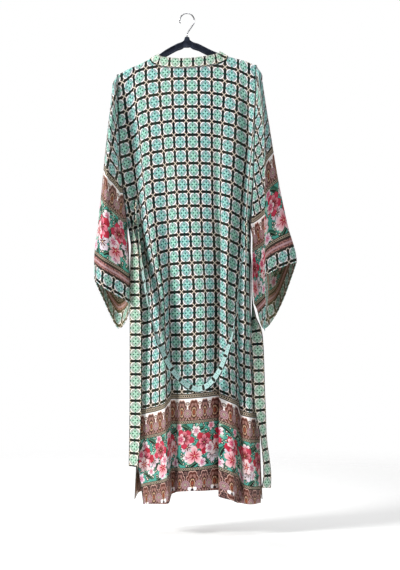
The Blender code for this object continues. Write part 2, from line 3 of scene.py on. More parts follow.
import bpy
import bmesh
import mathutils
import numpy as np
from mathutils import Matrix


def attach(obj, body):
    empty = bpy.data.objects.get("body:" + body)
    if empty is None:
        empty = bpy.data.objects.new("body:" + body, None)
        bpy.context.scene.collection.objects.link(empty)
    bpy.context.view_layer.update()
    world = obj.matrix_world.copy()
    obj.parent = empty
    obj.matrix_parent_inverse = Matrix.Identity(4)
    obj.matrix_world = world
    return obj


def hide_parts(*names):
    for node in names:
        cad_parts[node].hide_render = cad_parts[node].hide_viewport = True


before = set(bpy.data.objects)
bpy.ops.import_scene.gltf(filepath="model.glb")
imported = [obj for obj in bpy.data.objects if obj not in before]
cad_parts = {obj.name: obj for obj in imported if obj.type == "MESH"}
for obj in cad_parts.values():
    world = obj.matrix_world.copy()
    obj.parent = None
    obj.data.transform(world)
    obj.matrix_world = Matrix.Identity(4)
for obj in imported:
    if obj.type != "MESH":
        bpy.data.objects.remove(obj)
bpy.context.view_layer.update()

# The camera
# The coat is seen square from behind, from far off, a little above the middle of its height.
# Sizes are in millimetres, and "drop" is the distance down from the inside crown of the hook, the origin.
MM = 0.001
CAMERA_AWAY = 6000.0
CAMERA_X = 39.0
CAMERA_DROP = 813.0
CAMERA_LENS = 126.3
PICTURE_GAMMA = 0.93  # a little more contrast

camera_data = bpy.data.cameras.new("camera")
camera_data.lens = CAMERA_LENS
camera = bpy.data.objects.new("camera", camera_data)
camera.location = (CAMERA_X * MM, -CAMERA_AWAY * MM, -CAMERA_DROP * MM)
camera.rotation_euler = (math.radians(90), 0, 0)
bpy.context.scene.collection.objects.link(camera)
bpy.context.scene.camera = camera
bpy.context.scene.view_settings.view_transform = "Standard"
bpy.context.scene.view_settings.gamma = PICTURE_GAMMA

# The hanger's arms
# One dark blue plastic moulding, an I section that narrows to round ends, with a boss over the middle
# that holds the hook. It hangs a little lower at the left.
ARM_HEIGHT = 22.0
# x and drop of the arms' top line.
ARM_TOP = (
    (-205, 184), (-171, 166), (-150, 157), (-111, 138), (-87, 124), (-66, 109), (-30, 89), (-9, 79),
    (-6, 69), (6, 69), (9, 78), (36, 90), (72, 108), (93, 117), (123, 130), (171, 143), (203, 156),
)
ARM_HALF = 4.6  # half the thickness of the hanger's arms
ARM_TIP = 14.0  # over this length an arm narrows to its round end
ARM_TIP_SIZE = 0.45  # the section's size at the very end
ARM_EDGE = 0.5  # radius of the moulding's edges
# Half of the arms' section: half thickness, and distance below the top line.
ARM_SECTION = (
    (2.8, 0.0), (ARM_HALF, 1.8), (ARM_HALF, 3.8), (2.2, 5.6), (2.2, 16.6), (4.2, 18.4), (4.2, 20.6),
    (3.0, ARM_HEIGHT),
)
BOSS = ((-9, -6, 6, 9), (0, 10, 10, 0))  # x, and how much taller the section is under the hook
ARM_STATIONS = 90


def smooth(knots, values, at):
    """Reads a curve through (knots, values) at each place in at. It never overshoots its knots."""
    at = np.atleast_1d(np.asarray(at, float))
    shape = (len(knots), at.size)
    knots = np.broadcast_to(np.asarray(knots, float).reshape(shape[0], -1), shape)
    values = np.broadcast_to(np.asarray(values, float).reshape(shape[0], -1), shape)
    step = np.diff(knots, axis=0)
    rise = np.diff(values, axis=0) / step
    slope = np.concatenate([rise[:1], np.zeros_like(rise[:-1]), rise[-1:]])
    same = rise[:-1] * rise[1:] > 0
    before, after = 2 * step[1:] + step[:-1], step[1:] + 2 * step[:-1]
    safe = np.where(same, rise[:-1], 1.0), np.where(same, rise[1:], 1.0)
    mean = (before + after) / (before / safe[0] + after / safe[1])
    slope[1:-1] = np.where(same, mean, 0.0)
    i = np.clip((knots <= at).sum(axis=0) - 1, 0, shape[0] - 2)[None]

    def here(table, shift=0):
        return np.take_along_axis(table, i + shift, 0)[0]

    h = here(step)
    u = np.clip((at - here(knots)) / h, 0.0, 1.0)
    return (
        here(values) * (1 + 2 * u) * (1 - u) ** 2
        + here(values, 1) * u * u * (3 - 2 * u)
        + h * here(slope) * u * (1 - u) ** 2
        - h * here(slope, 1) * u * u * (1 - u)
    )


def column(table, i):
    """One column of a table of rows."""
    return [row[i] for row in table]


def arm_top(x):
    """Drop of the hanger's top line."""
    return smooth(column(ARM_TOP, 0), column(ARM_TOP, 1), x)


def new_material(name):
    """A node material, with its tree and its shader."""
    made = bpy.data.materials.new(name)
    made.use_nodes = True
    return made, made.node_tree, made.node_tree.nodes["Principled BSDF"]


def moulded_plastic():
    """Dark blue plastic with a fine moulded grain and light rub marks."""
    made, tree, shader = new_material("hanger plastic")
    nodes, links = tree.nodes, tree.links
    place = nodes.new("ShaderNodeTexCoord")
    grain = nodes.new("ShaderNodeTexNoise")
    grain.inputs["Scale"].default_value = 900.0
    rubs = nodes.new("ShaderNodeTexNoise")
    rubs.inputs["Scale"].default_value = 45.0
    rubs.inputs["Detail"].default_value = 6.0
    colour = nodes.new("ShaderNodeValToRGB")
    colour.color_ramp.elements[0].position = 0.42
    colour.color_ramp.elements[0].color = (0.010, 0.014, 0.028, 1)
    colour.color_ramp.elements[1].position = 0.78
    colour.color_ramp.elements[1].color = (0.035, 0.045, 0.075, 1)
    polish = nodes.new("ShaderNodeMapRange")
    polish.inputs["To Min"].default_value = 0.28
    polish.inputs["To Max"].default_value = 0.5
    bump = nodes.new("ShaderNodeBump")
    bump.inputs["Strength"].default_value = 0.25
    bump.inputs["Distance"].default_value = 0.0002
    for texture in (grain, rubs):
        links.new(place.outputs["Object"], texture.inputs["Vector"])
    links.new(rubs.outputs["Fac"], colour.inputs["Fac"])
    links.new(colour.outputs["Color"], shader.inputs["Base Color"])
    links.new(rubs.outputs["Fac"], polish.inputs["Value"])
    links.new(polish.outputs["Result"], shader.inputs["Roughness"])
    links.new(grain.outputs["Fac"], bump.inputs["Height"])
    links.new(bump.outputs["Normal"], shader.inputs["Normal"])
    return made


def add_piece(name, mesh, *looks):
    """Puts a finished mesh in the scene, riding on the coat's one body."""
    for look in looks:
        mesh.materials.append(look)
    mesh.shade_smooth()
    made = bpy.data.objects.new(name, mesh)
    bpy.context.scene.collection.objects.link(made)
    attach(made, "root")
    return made


def hanger_mesh():
    """The arms: one section set at many stations along them, and closed at both ends."""
    xs = column(ARM_TOP, 0)
    stations = np.unique(np.concatenate([np.linspace(xs[0], xs[-1], ARM_STATIONS), xs]))
    outline = [*ARM_SECTION, *((-y, below) for y, below in reversed(ARM_SECTION))]
    mesh = bmesh.new()
    rings = []
    for x, top in zip(stations, arm_top(stations)):
        tip = float(np.clip(min(x - xs[0], xs[-1] - x) / ARM_TIP, 0, 1))
        size = ARM_TIP_SIZE + (1 - ARM_TIP_SIZE) * math.sqrt(tip)
        boss = float(np.interp(x, *BOSS))
        ring = []
        for y, below in outline:
            depth = below * size + (boss if below > 0 else 0)
            ring.append(mesh.verts.new((x * MM, y * size * MM, -(top + depth) * MM)))
        rings.append(ring)
    for one, two in zip(rings, rings[1:]):
        for i in range(len(outline)):
            j = (i + 1) % len(outline)
            mesh.faces.new((one[i], one[j], two[j], two[i]))
    mesh.faces.new(rings[0][::-1])
    mesh.faces.new(rings[-1])
    bmesh.ops.recalc_face_normals(mesh, faces=mesh.faces)
    made = bpy.data.meshes.new("hanger arms")
    mesh.to_mesh(made)
    mesh.free()
    return made


hanger = add_piece("hanger_arms", hanger_mesh(), moulded_plastic())
soften = hanger.modifiers.new("soft edges", "BEVEL")
soften.width = ARM_EDGE * MM
soften.segments = 2
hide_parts("hanger")

# The hook
# Bright steel wire, bent by machine and pressed into the boss. Its inside crown rests on the rail.
HOOK_WIRE = 1.9  # radius
HOOK_BEND = 21.9  # to the middle of the wire
HOOK_SHANK = ((0.0, 68.6), (0.0, 62.0), (3.0, 54.0), (9.0, 46.0))  # x, drop, up to the bend
HOOK_ANGLES = (-42, 205, 4)  # start, stop and step of the bend, in degrees


def bright_wire():
    """Drawn steel wire with fine marks that change its polish."""
    made, tree, shader = new_material("hook steel")
    nodes, links = tree.nodes, tree.links
    shader.inputs["Base Color"].default_value = (0.56, 0.56, 0.58, 1)
    shader.inputs["Metallic"].default_value = 1.0
    place = nodes.new("ShaderNodeTexCoord")
    marks = nodes.new("ShaderNodeTexNoise")
    marks.inputs["Scale"].default_value = 700.0
    polish = nodes.new("ShaderNodeMapRange")
    polish.inputs["To Min"].default_value = 0.14
    polish.inputs["To Max"].default_value = 0.34
    links.new(place.outputs["Object"], marks.inputs["Vector"])
    links.new(marks.outputs["Fac"], polish.inputs["Value"])
    links.new(polish.outputs["Result"], shader.inputs["Roughness"])
    return made


def hook_mesh():
    """The wire, from the boss up its shank and round its bend, with both ends closed."""
    centre_drop = HOOK_BEND - HOOK_WIRE
    path = list(HOOK_SHANK)
    for angle in np.radians(np.arange(*HOOK_ANGLES)):
        path.append((HOOK_BEND * math.cos(angle), centre_drop - HOOK_BEND * math.sin(angle)))
    curve = bpy.data.curves.new("hook wire", "CURVE")
    curve.dimensions = "3D"
    curve.bevel_depth = HOOK_WIRE * MM
    curve.bevel_resolution = 4
    curve.use_fill_caps = True
    spline = curve.splines.new("POLY")
    spline.points.add(len(path) - 1)
    for point, (x, drop) in zip(spline.points, path):
        point.co = (x * MM, 0.0, -drop * MM, 1.0)
    wire = bpy.data.objects.new("hook wire", curve)
    bpy.context.scene.collection.objects.link(wire)
    made = bpy.data.meshes.new_from_object(wire.evaluated_get(bpy.context.evaluated_depsgraph_get()))
    bpy.data.objects.remove(wire)
    bpy.data.curves.remove(curve)
    shape = bmesh.new()
    shape.from_mesh(made)
    bmesh.ops.remove_doubles(shape, verts=shape.verts, dist=0.01 * MM)
    shape.to_mesh(made)
    shape.free()
    made.name = "hook"
    return made


hook = add_piece("hook_wire", hook_mesh(), bright_wire())
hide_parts("hanger_hook")

# The printed cloth
# A light plain-woven cloth. Its print is a lattice of oval rosettes in mint and teal, and at each hem a
# border: ornament bands in brown and rose with white, dotted lines, and large garden flowers between.
TILE = 39.5  # one repeat of the print across, which the folds are counted in
TILE_HEIGHT = 42.4
BAND_REPEAT = 79.0  # of the ornament bands, two tiles
DOT_PITCH = 6.6  # of the border's dotted lines
THREAD = 0.55  # from one thread of the weave to the next
SOFT = 0.5  # width of a printed edge


def ink(red, green, blue):
    """A printed colour, given in 0 to 255, as Blender's linear colour."""
    parts = np.array([red, green, blue]) / 255
    linear = np.where(parts < 0.04045, parts / 12.92, ((parts + 0.055) / 1.055) ** 2.4)
    return (*(float(v) for v in linear), 1.0)


def new_group(name, inputs, output):
    """An empty shader group. A socket with Colour in its name holds a colour, any other a number."""
    group = bpy.data.node_groups.new(name, "ShaderNodeTree")
    for direction, names in (("INPUT", inputs), ("OUTPUT", (output,))):
        for socket in names:
            kind = "NodeSocketColor" if "Colour" in socket else "NodeSocketFloat"
            group.interface.new_socket(name=socket, in_out=direction, socket_type=kind)
    result = group.nodes.new("NodeGroupOutput").inputs[output]
    return group, group.nodes.new("NodeGroupInput").outputs, result


def feed(tree, socket, value):
    """Sets a socket to a number or colour, or links another node's output to it."""
    if isinstance(value, (int, float, tuple)):
        socket.default_value = value
    else:
        tree.links.new(value, socket)


def calculator(tree):
    """A function that adds one Math node to the tree and gives its result."""

    def calculate(operation, *values, clamp=False):
        node = tree.nodes.new("ShaderNodeMath")
        node.operation = operation
        node.use_clamp = clamp
        for socket, value in zip(node.inputs, values):
            feed(tree, socket, value)
        return node.outputs[0]

    return calculate


def inside(tree, distance, limit, soft=SOFT):
    """1 where distance is under limit, 0 where it is over it, with a soft edge."""
    calculate = calculator(tree)
    left = calculate("SUBTRACT", limit, distance)
    return calculate("MULTIPLY_ADD", left, 1 / soft, 0.5, clamp=True)


def beyond(tree, distance, limit, soft=SOFT):
    """1 where distance is over limit, 0 where it is under it, with a soft edge."""
    return inside(tree, limit, distance, soft)


def over(tree, mask, below, above):
    """The colour above laid over the colour below where the mask is 1."""
    node = tree.nodes.new("ShaderNodeMix")
    node.data_type = "RGBA"
    feed(tree, node.inputs["Factor"], mask)
    feed(tree, node.inputs[6], below)
    feed(tree, node.inputs[7], above)
    return node.outputs[2]


def length_of(calculate, x, y):
    """Length of a line that runs x across and y up."""
    return calculate("SQRT", calculate("ADD", calculate("MULTIPLY", x, x), calculate("MULTIPLY", y, y)))


def off(calculate, value, centre):
    """How far the value is from the centre, either way."""
    return calculate("ABSOLUTE", calculate("SUBTRACT", value, centre))


def folded(calculate, value, repeat, centre=0.0):
    """The place within its repeat, from minus to plus half of it."""
    return calculate("WRAP", calculate("SUBTRACT", value, centre), 0.5 * repeat, -0.5 * repeat)


def flat_place(tree, across, up):
    """A place on the flat cloth, in the form that a texture reads."""
    place = tree.nodes.new("ShaderNodeCombineXYZ")
    feed(tree, place.inputs["X"], across)
    feed(tree, place.inputs["Y"], up)
    return place.outputs["Vector"]


def scattered(tree, place, scale, randomness=1.0):
    """Distance from the nearest of many scattered points, about 1 between two of them."""
    cells = tree.nodes.new("ShaderNodeTexVoronoi")
    cells.voronoi_dimensions = "2D"
    cells.inputs["Scale"].default_value = scale
    cells.inputs["Randomness"].default_value = randomness
    feed(tree, cells.inputs["Vector"], place)
    return cells.outputs["Distance"]


def make_tile_group():
    """One tile of the lattice: a rosette with four dots in an oval rim, between dark spindle bars.

    Sizes on it are shares of half a tile.
    """
    oval_wide, oval_tall, oval_power = 0.86, 0.87, 2.5  # a power of 2 would be an ellipse
    scrolls_at, dots_at = 0.66, 0.34
    bar_half, bar_end = 0.2, 0.74
    group, given, result = new_group("lattice tile", ("Across", "Up"), "Colour")
    calculate = calculator(group)
    s = calculate("DIVIDE", given["Across"], TILE)
    t = calculate("DIVIDE", given["Up"], TILE_HEIGHT)
    parity = calculate("FLOORED_MODULO", calculate("FLOOR", s), 2.0)
    x = calculate("MULTIPLY_ADD", calculate("FRACT", s), 2.0, -1.0)
    y = calculate("MULTIPLY_ADD", calculate("FRACT", t), 2.0, -1.0)
    ax, ay = calculate("ABSOLUTE", x), calculate("ABSOLUTE", y)
    edge_x, edge_y = calculate("SUBTRACT", 1.0, ax), calculate("SUBTRACT", 1.0, ay)
    wide, tall = calculate("DIVIDE", ax, oval_wide), calculate("DIVIDE", ay, oval_tall)
    radius = calculate("ADD", calculate("POWER", wide, oval_power), calculate("POWER", tall, oval_power))
    radius = calculate("POWER", radius, 1 / oval_power)
    # How far a place lies towards a slanting direction, from 0 to 1.
    product = calculate("MULTIPLY", calculate("MULTIPLY", ax, ay), 2.0)
    square = calculate("ADD", calculate("MULTIPLY", x, x), calculate("MULTIPLY", y, y))
    slant = calculate("DIVIDE", product, calculate("ADD", square, 0.0001))
    # The corners between four rims, with a fine pale cross.
    cross = inside(group, off(calculate, edge_x, edge_y), 0.06, 0.05)
    colour = over(group, cross, ink(118, 104, 98), ink(240, 226, 210))
    # The rosette's ground, greener in one column and bluer in the next, with four pale petals.
    ground = over(group, parity, ink(136, 200, 180), ink(122, 194, 188))
    petals = calculate("MULTIPLY", inside(group, radius, 0.5, 0.2), beyond(group, slant, 0.62, 0.2))
    ground = over(group, calculate("MULTIPLY", petals, 0.5), ground, ink(206, 240, 232))
    # Grey scrolls in the slanting directions, each with a fine pale line along it.
    at_scrolls = off(calculate, radius, scrolls_at)
    scroll = calculate("MULTIPLY", inside(group, at_scrolls, 0.12, 0.06), beyond(group, slant, 0.42, 0.2))
    ground = over(group, calculate("MULTIPLY", scroll, 0.9), ground, ink(120, 130, 140))
    thread = calculate("MULTIPLY", inside(group, at_scrolls, 0.022, 0.03), beyond(group, slant, 0.3, 0.2))
    ground = over(group, thread, ground, ink(226, 222, 228))
    # The rim, white in the slanting directions and green between them.
    rim = over(group, beyond(group, slant, 0.34, 0.3), ink(150, 214, 202), ink(252, 246, 250))
    colour = over(group, inside(group, radius, 1.0, 0.05), colour, rim)
    colour = over(group, inside(group, radius, 0.83, 0.05), colour, ground)
    # Four dots round the middle.
    beside = length_of(calculate, calculate("SUBTRACT", ax, dots_at), ay)
    above = length_of(calculate, ax, calculate("SUBTRACT", ay, dots_at))
    dot = inside(group, calculate("MINIMUM", beside, above), 0.11, 0.05)
    colour = over(group, dot, colour, ink(14, 70, 68))
    # The dark bars: spindles that end short of the crossings, each with a teal knot at its middle.
    for along, aside, bar in ((ay, edge_x, ink(6, 24, 28)), (ax, edge_y, ink(14, 20, 20))):
        taper = calculate("POWER", along, 4.0)
        width = calculate("MULTIPLY_ADD", taper, -bar_half / bar_end, bar_half)
        colour = over(group, inside(group, aside, width, 0.04), colour, bar)
        knot = calculate("MAXIMUM", calculate("MULTIPLY_ADD", along, -0.9, 0.12), 0.0)
        knot = inside(group, aside, calculate("ADD", knot, width), 0.04)
        knot = calculate("MULTIPLY", knot, inside(group, along, 0.14, 0.04))
        colour = over(group, knot, colour, ink(8, 42, 42))
    group.links.new(colour, result)
    return group


def row_place(calculate, given):
    """The place within its cell of a row that rises and falls, with the cell's number and its parity."""
    cell = calculate("DIVIDE", calculate("SUBTRACT", given["Across"], given["Start"]), given["Pitch"])
    number = calculate("ROUND", cell)
    odd = calculate("FLOORED_MODULO", number, 2.0)
    x = calculate("MULTIPLY", calculate("SUBTRACT", cell, number), given["Pitch"])
    middle = calculate("MULTIPLY_ADD", odd, given["Zigzag"], given["Height"])
    return x, calculate("SUBTRACT", given["Up"], middle), number, odd


ROW = ("Across", "Up", "Pitch", "Start", "Height", "Zigzag")


def make_blossom_group():
    """A row of flowers over what is below it: five petals with dark veins, a throat and a pale heart."""
    colours = ("Below Colour", "Edge Colour", "Petal Colour", "Other Colour", "Throat Colour")
    group, given, result = new_group("blossoms in a row", ROW + ("Radius", "Turn") + colours, "Colour")
    calculate = calculator(group)
    x, y, number, odd = row_place(calculate, given)
    size = calculate("MULTIPLY_ADD", odd, -0.1, 1.0)
    radius = calculate("DIVIDE", length_of(calculate, x, y), calculate("MULTIPLY", given["Radius"], size))
    turn = calculate("MULTIPLY_ADD", number, 1.3, given["Turn"])
    angle = calculate("ADD", calculate("ARCTAN2", y, x), turn)
    # The outline of five petals, one larger than the next, with ragged edges.
    half = calculate("MULTIPLY", angle, 2.5)
    lobe = calculate("ABSOLUTE", calculate("COSINE", half))
    rim = calculate("MULTIPLY_ADD", calculate("POWER", lobe, 0.6), 0.52, 0.44)
    uneven = calculate("MULTIPLY_ADD", number, 2.0, calculate("MULTIPLY", angle, 3.0))
    rim = calculate("MULTIPLY_ADD", calculate("SINE", uneven), 0.07, rim)
    ragged = calculate("ADD", calculate("MULTIPLY", half, 6.4), number)
    rim = calculate("MULTIPLY_ADD", calculate("SINE", ragged), 0.035, rim)
    part = calculate("DIVIDE", radius, rim)
    petal = over(group, odd, given["Petal Colour"], given["Other Colour"])
    colour = over(group, calculate("POWER", part, 1.6), petal, given["Edge Colour"])
    # Veins, the gaps between petals, a fine line round them, and a star in the throat.
    vein = calculate("ABSOLUTE", calculate("SINE", calculate("MULTIPLY", half, 9.0)))
    vein = calculate("MULTIPLY", calculate("POWER", vein, 3.0), inside(group, part, 0.85, 0.5))
    gap = calculate("MULTIPLY", inside(group, lobe, 0.24, 0.16), 0.9)
    line = calculate("MULTIPLY", beyond(group, part, 0.955, 0.05), 0.55)
    dark = calculate("MAXIMUM", calculate("MAXIMUM", calculate("MULTIPLY", vein, 0.62), gap), line)
    star = calculate("MULTIPLY_ADD", calculate("POWER", lobe, 3.0), 0.42, 0.1)
    dark = calculate("MAXIMUM", dark, inside(group, radius, star, 0.12))
    colour = over(group, dark, colour, given["Throat Colour"])
    colour = over(group, inside(group, radius, 0.07, 0.04), colour, ink(244, 206, 160))
    mask = inside(group, part, 1.0, 0.03)
    group.links.new(over(group, mask, given["Below Colour"], colour), result)
    return group


def make_leaf_group():
    """A row of pointed leaves over what is below it, each with a pale midrib and a lighter side."""
    names = ROW + ("Length", "Width", "Turn", "Below Colour", "Leaf Colour")
    group, given, result = new_group("leaves in a row", names, "Colour")
    calculate = calculator(group)
    x, y, _, odd = row_place(calculate, given)
    turn = calculate("MULTIPLY", calculate("MULTIPLY_ADD", odd, -2.0, 1.0), given["Turn"])
    cosine, sine = calculate("COSINE", turn), calculate("SINE", turn)
    along = calculate("ADD", calculate("MULTIPLY", x, cosine), calculate("MULTIPLY", y, sine))
    aside = calculate("SUBTRACT", calculate("MULTIPLY", y, cosine), calculate("MULTIPLY", x, sine))
    part = calculate("DIVIDE", along, given["Length"])
    square = calculate("MULTIPLY", part, part)
    aside = calculate("MULTIPLY_ADD", calculate("MULTIPLY", square, given["Width"]), 0.5, aside)
    left = calculate("MAXIMUM", calculate("SUBTRACT", 1.0, square), 0.0)
    near = calculate("ABSOLUTE", aside)
    mask = inside(group, near, calculate("MULTIPLY", left, given["Width"]), 1.0)
    mask = calculate("MULTIPLY", mask, inside(group, square, 0.98, 0.04))
    lit = over(group, beyond(group, aside, 0.0, 1.5), given["Leaf Colour"], ink(30, 92, 78))
    lit = over(group, inside(group, near, 0.55, 0.5), lit, ink(116, 160, 132))
    group.links.new(over(group, mask, given["Below Colour"], lit), result)
    return group


def make_ornament_group():
    """The ornament band: domes of petals on a beaded ground, their tops on white with almonds between."""
    dome_root, dome_radius = 24.0, 16.4
    ring_at, ring_radius = 21.0, 11.4
    almond_at, almond_wide, almond_tall = 50.0, 7.0, 5.0
    white_from = 30.0
    group, given, result = new_group("ornament band", ("Across", "Height", "White"), "Colour")
    calculate = calculator(group)
    half = 0.5 * BAND_REPEAT
    spot = scattered(group, flat_place(group, given["Across"], given["Height"]), 0.16, 0.6)
    ground = over(group, inside(group, spot, 0.36, 0.16), ink(58, 40, 42), ink(140, 104, 102))
    ground = over(group, inside(group, spot, 0.15, 0.08), ground, ink(94, 54, 56))
    # White above the domes.
    white = calculate("MULTIPLY", beyond(group, given["Height"], white_from, 1.5), given["White"])
    colour = over(group, white, ground, ink(252, 248, 248))
    x_dome = folded(calculate, given["Across"], half)
    x_between = folded(calculate, given["Across"], half, 0.5 * half)
    odd = calculate("FLOORED_MODULO", calculate("ROUND", calculate("DIVIDE", given["Across"], half)), 2.0)
    # An almond in each white gap.
    wide = calculate("DIVIDE", x_between, almond_wide)
    tall = calculate("DIVIDE", calculate("SUBTRACT", given["Height"], almond_at), almond_tall)
    almond = length_of(calculate, wide, tall)
    almond_colour = over(group, inside(group, almond, 0.55, 0.2), ink(116, 92, 88), ink(206, 190, 180))
    shown = calculate("MULTIPLY", inside(group, almond, 1.0, 0.15), given["White"])
    colour = over(group, shown, colour, almond_colour)
    # The domes, each over its own root, with rows of outlined petals and cream beads.
    y_dome = calculate("SUBTRACT", given["Height"], dome_root)
    away = length_of(calculate, x_dome, calculate("MULTIPLY", y_dome, 0.5))
    turn = calculate("ARCTAN2", y_dome, x_dome)
    petal = calculate("ABSOLUTE", calculate("SINE", calculate("MULTIPLY", turn, 6.0)))
    dome = over(group, odd, ink(104, 56, 50), ink(92, 60, 62))
    petals = inside(group, off(calculate, away, 12.0), calculate("MULTIPLY", petal, 2.8), 1.0)
    dome = over(group, petals, dome, ink(162, 120, 112))
    dome = over(group, inside(group, off(calculate, away, 8.2), 0.9, 0.6), dome, ink(70, 38, 38))
    bead = inside(group, off(calculate, away, 6.2), 1.0, 0.6)
    bead = calculate("MULTIPLY", bead, beyond(group, petal, 0.35, 0.3))
    dome = over(group, bead, dome, ink(220, 184, 150))
    dome = over(group, inside(group, away, 3.0, 0.8), dome, ink(160, 84, 60))
    rim = calculate("MULTIPLY_ADD", petal, 2.4, dome_radius)
    outline = inside(group, away, calculate("ADD", rim, 1.3), 0.6)
    colour = over(group, outline, colour, ink(222, 182, 170))
    colour = over(group, inside(group, away, rim, 0.6), colour, dome)
    # A scalloped lilac ring between two domes, with beads round a small flower.
    y_ring = calculate("SUBTRACT", given["Height"], ring_at)
    ring = length_of(calculate, x_between, y_ring)
    turn = calculate("ARCTAN2", y_ring, x_between)
    petal = calculate("ABSOLUTE", calculate("SINE", calculate("MULTIPLY", turn, 5.0)))
    scallop = inside(group, ring, calculate("MULTIPLY_ADD", petal, 1.2, ring_radius), 0.6)
    colour = over(group, scallop, colour, ink(184, 152, 160))
    colour = over(group, inside(group, ring, 10.2, 0.6), colour, ink(120, 84, 92))
    bead = calculate("MULTIPLY", inside(group, ring, 9.0, 0.6), beyond(group, petal, 0.35, 0.3))
    colour = over(group, bead, colour, ink(190, 150, 156))
    for size, layer in ((5.0, ink(104, 84, 80)), (3.6, ink(196, 188, 164)), (1.4, ink(92, 60, 66))):
        colour = over(group, inside(group, ring, size, 0.6), colour, layer)
    group.links.new(colour, result)
    return group


def make_line_group():
    """A dotted line 10 high: dark beads on a taupe ground, between two dark edges."""
    group, given, result = new_group("dotted line", ("Across", "Height"), "Colour")
    calculate = calculator(group)
    x = folded(calculate, given["Across"], DOT_PITCH)
    y = calculate("SUBTRACT", given["Height"], 5.0)
    away = length_of(calculate, x, y)
    colour = over(group, inside(group, away, 3.1, 0.5), ink(120, 104, 92), ink(200, 186, 166))
    colour = over(group, inside(group, away, 2.1, 0.5), colour, ink(24, 20, 22))
    edges = beyond(group, calculate("ABSOLUTE", y), 3.7, 0.5)
    group.links.new(over(group, edges, colour, ink(26, 26, 26)), result)
    return group


tile_group = make_tile_group()
blossom_group = make_blossom_group()
leaf_group = make_leaf_group()
ornament_group = make_ornament_group()
line_group = make_line_group()

PINK, DEEP_PINK, PALE_PINK = ink(246, 160, 176), ink(222, 76, 116), ink(252, 224, 228)
CRIMSON, CHERRY, WINE = ink(176, 14, 46), ink(214, 50, 84), ink(84, 4, 24)
WHITE, LILAC, MAGENTA = ink(252, 250, 250), ink(240, 222, 240), ink(190, 36, 108)
# Rows of flowers: pitch, start, height, rise of every other one, radius, turn, then the colours of the
# petals' edges, the petals, every other flower's petals, and the throats.
BLOSSOM_ROWS = (
    (58, 8, 178, 12, 16, 0.4, WHITE, WHITE, PINK, MAGENTA),
    (47, 30, 84, 16, 17, 0.6, WHITE, LILAC, WHITE, MAGENTA),
    (88, 70, 106, 24, 25, 0.2, LILAC, WHITE, PALE_PINK, WINE),
    (66, 38, 142, 14, 35, 0.3, CHERRY, CRIMSON, DEEP_PINK, WINE),
    (66, 38, 142, 14, 24, 0.95, PINK, DEEP_PINK, CRIMSON, WINE),
    (79, 4, 104, 20, 28, 0.9, PALE_PINK, PINK, WHITE, CRIMSON),
    (101, 60, 124, 30, 19, 1.2, WHITE, PALE_PINK, CHERRY, MAGENTA),
)
BLOSSOM_INPUTS = (
    "Pitch", "Start", "Height", "Zigzag", "Radius", "Turn",
    "Edge Colour", "Petal Colour", "Other Colour", "Throat Colour",
)
DARK, MID = ink(8, 34, 32), ink(16, 66, 58)
# Rows of leaves: pitch, start, height, rise of every other one, half length, half width, turn, colour.
LEAF_ROWS = (
    (43, 20, 182, 8, 21, 7, 0.5, DARK), (43, 0, 78, 12, 21, 7, 0.6, DARK),
    (52, 26, 120, 26, 21, 7, 1.2, DARK), (71, 50, 160, 16, 19, 7, 2.4, MID),
)
LEAF_INPUTS = ("Pitch", "Start", "Height", "Zigzag", "Length", "Width", "Turn", "Leaf Colour")


def placed(tree, group, values):
    """What a group gives at one use of it in a tree, with its inputs by name."""
    node = tree.nodes.new("ShaderNodeGroup")
    node.node_tree = group
    for name, value in values.items():
        feed(tree, node.inputs[name], value)
    return node.outputs[0]


def make_flower_group():
    """The border's flowers on turquoise, 130 mm high, from 70 to 200 above the hem."""
    group, given, result = new_group("garden flowers", ("Across", "Up"), "Colour")
    place = flat_place(group, given["Across"], given["Up"])
    cloud = group.nodes.new("ShaderNodeTexNoise")
    cloud.noise_dimensions = "2D"
    cloud.inputs["Scale"].default_value = 0.035
    feed(group, cloud.inputs["Vector"], place)
    pale = beyond(group, cloud.outputs["Fac"], 0.6, 0.12)
    colour = over(group, pale, ink(80, 168, 154), ink(186, 220, 200))
    # Small sprigs: dark clumps, each with a cream bud.
    sprig = scattered(group, place, 0.085)
    colour = over(group, inside(group, sprig, 0.38, 0.1), colour, ink(14, 48, 44))
    colour = over(group, inside(group, sprig, 0.17, 0.08), colour, ink(238, 226, 214))
    for drawn, names, rows in (
        (leaf_group, LEAF_INPUTS, LEAF_ROWS), (blossom_group, BLOSSOM_INPUTS, BLOSSOM_ROWS),
    ):
        for row in rows:
            values = {"Across": given["Across"], "Up": given["Up"], "Below Colour": colour}
            colour = placed(group, drawn, values | dict(zip(names, row)))
    group.links.new(colour, result)
    return group


flower_group = make_flower_group()

# Where each band of the border starts above the hem.
LOW_LINE, FLOWERS, TOP_LINE, ORNAMENTS, LAST_LINE, LATTICE = 60, 70, 200, 210, 275, 290
LINE_HEIGHT = 10.0
FIRST_ROW = 6.5  # how far above its start the lattice's first whole row begins
MANY_ROWS = 40 * TILE_HEIGHT  # whole rows, added so that the lattice's height stays above 0
# On the sleeves the border starts higher, over a row of lattice and a rose band, and is a little taller.
SLEEVE_ROSE, SLEEVE_LINE, SLEEVE_STRETCH = 50, 79, 0.86
SLEEVE_LATTICE = 34.0  # how far up its tile the lattice is cut off at the cuff


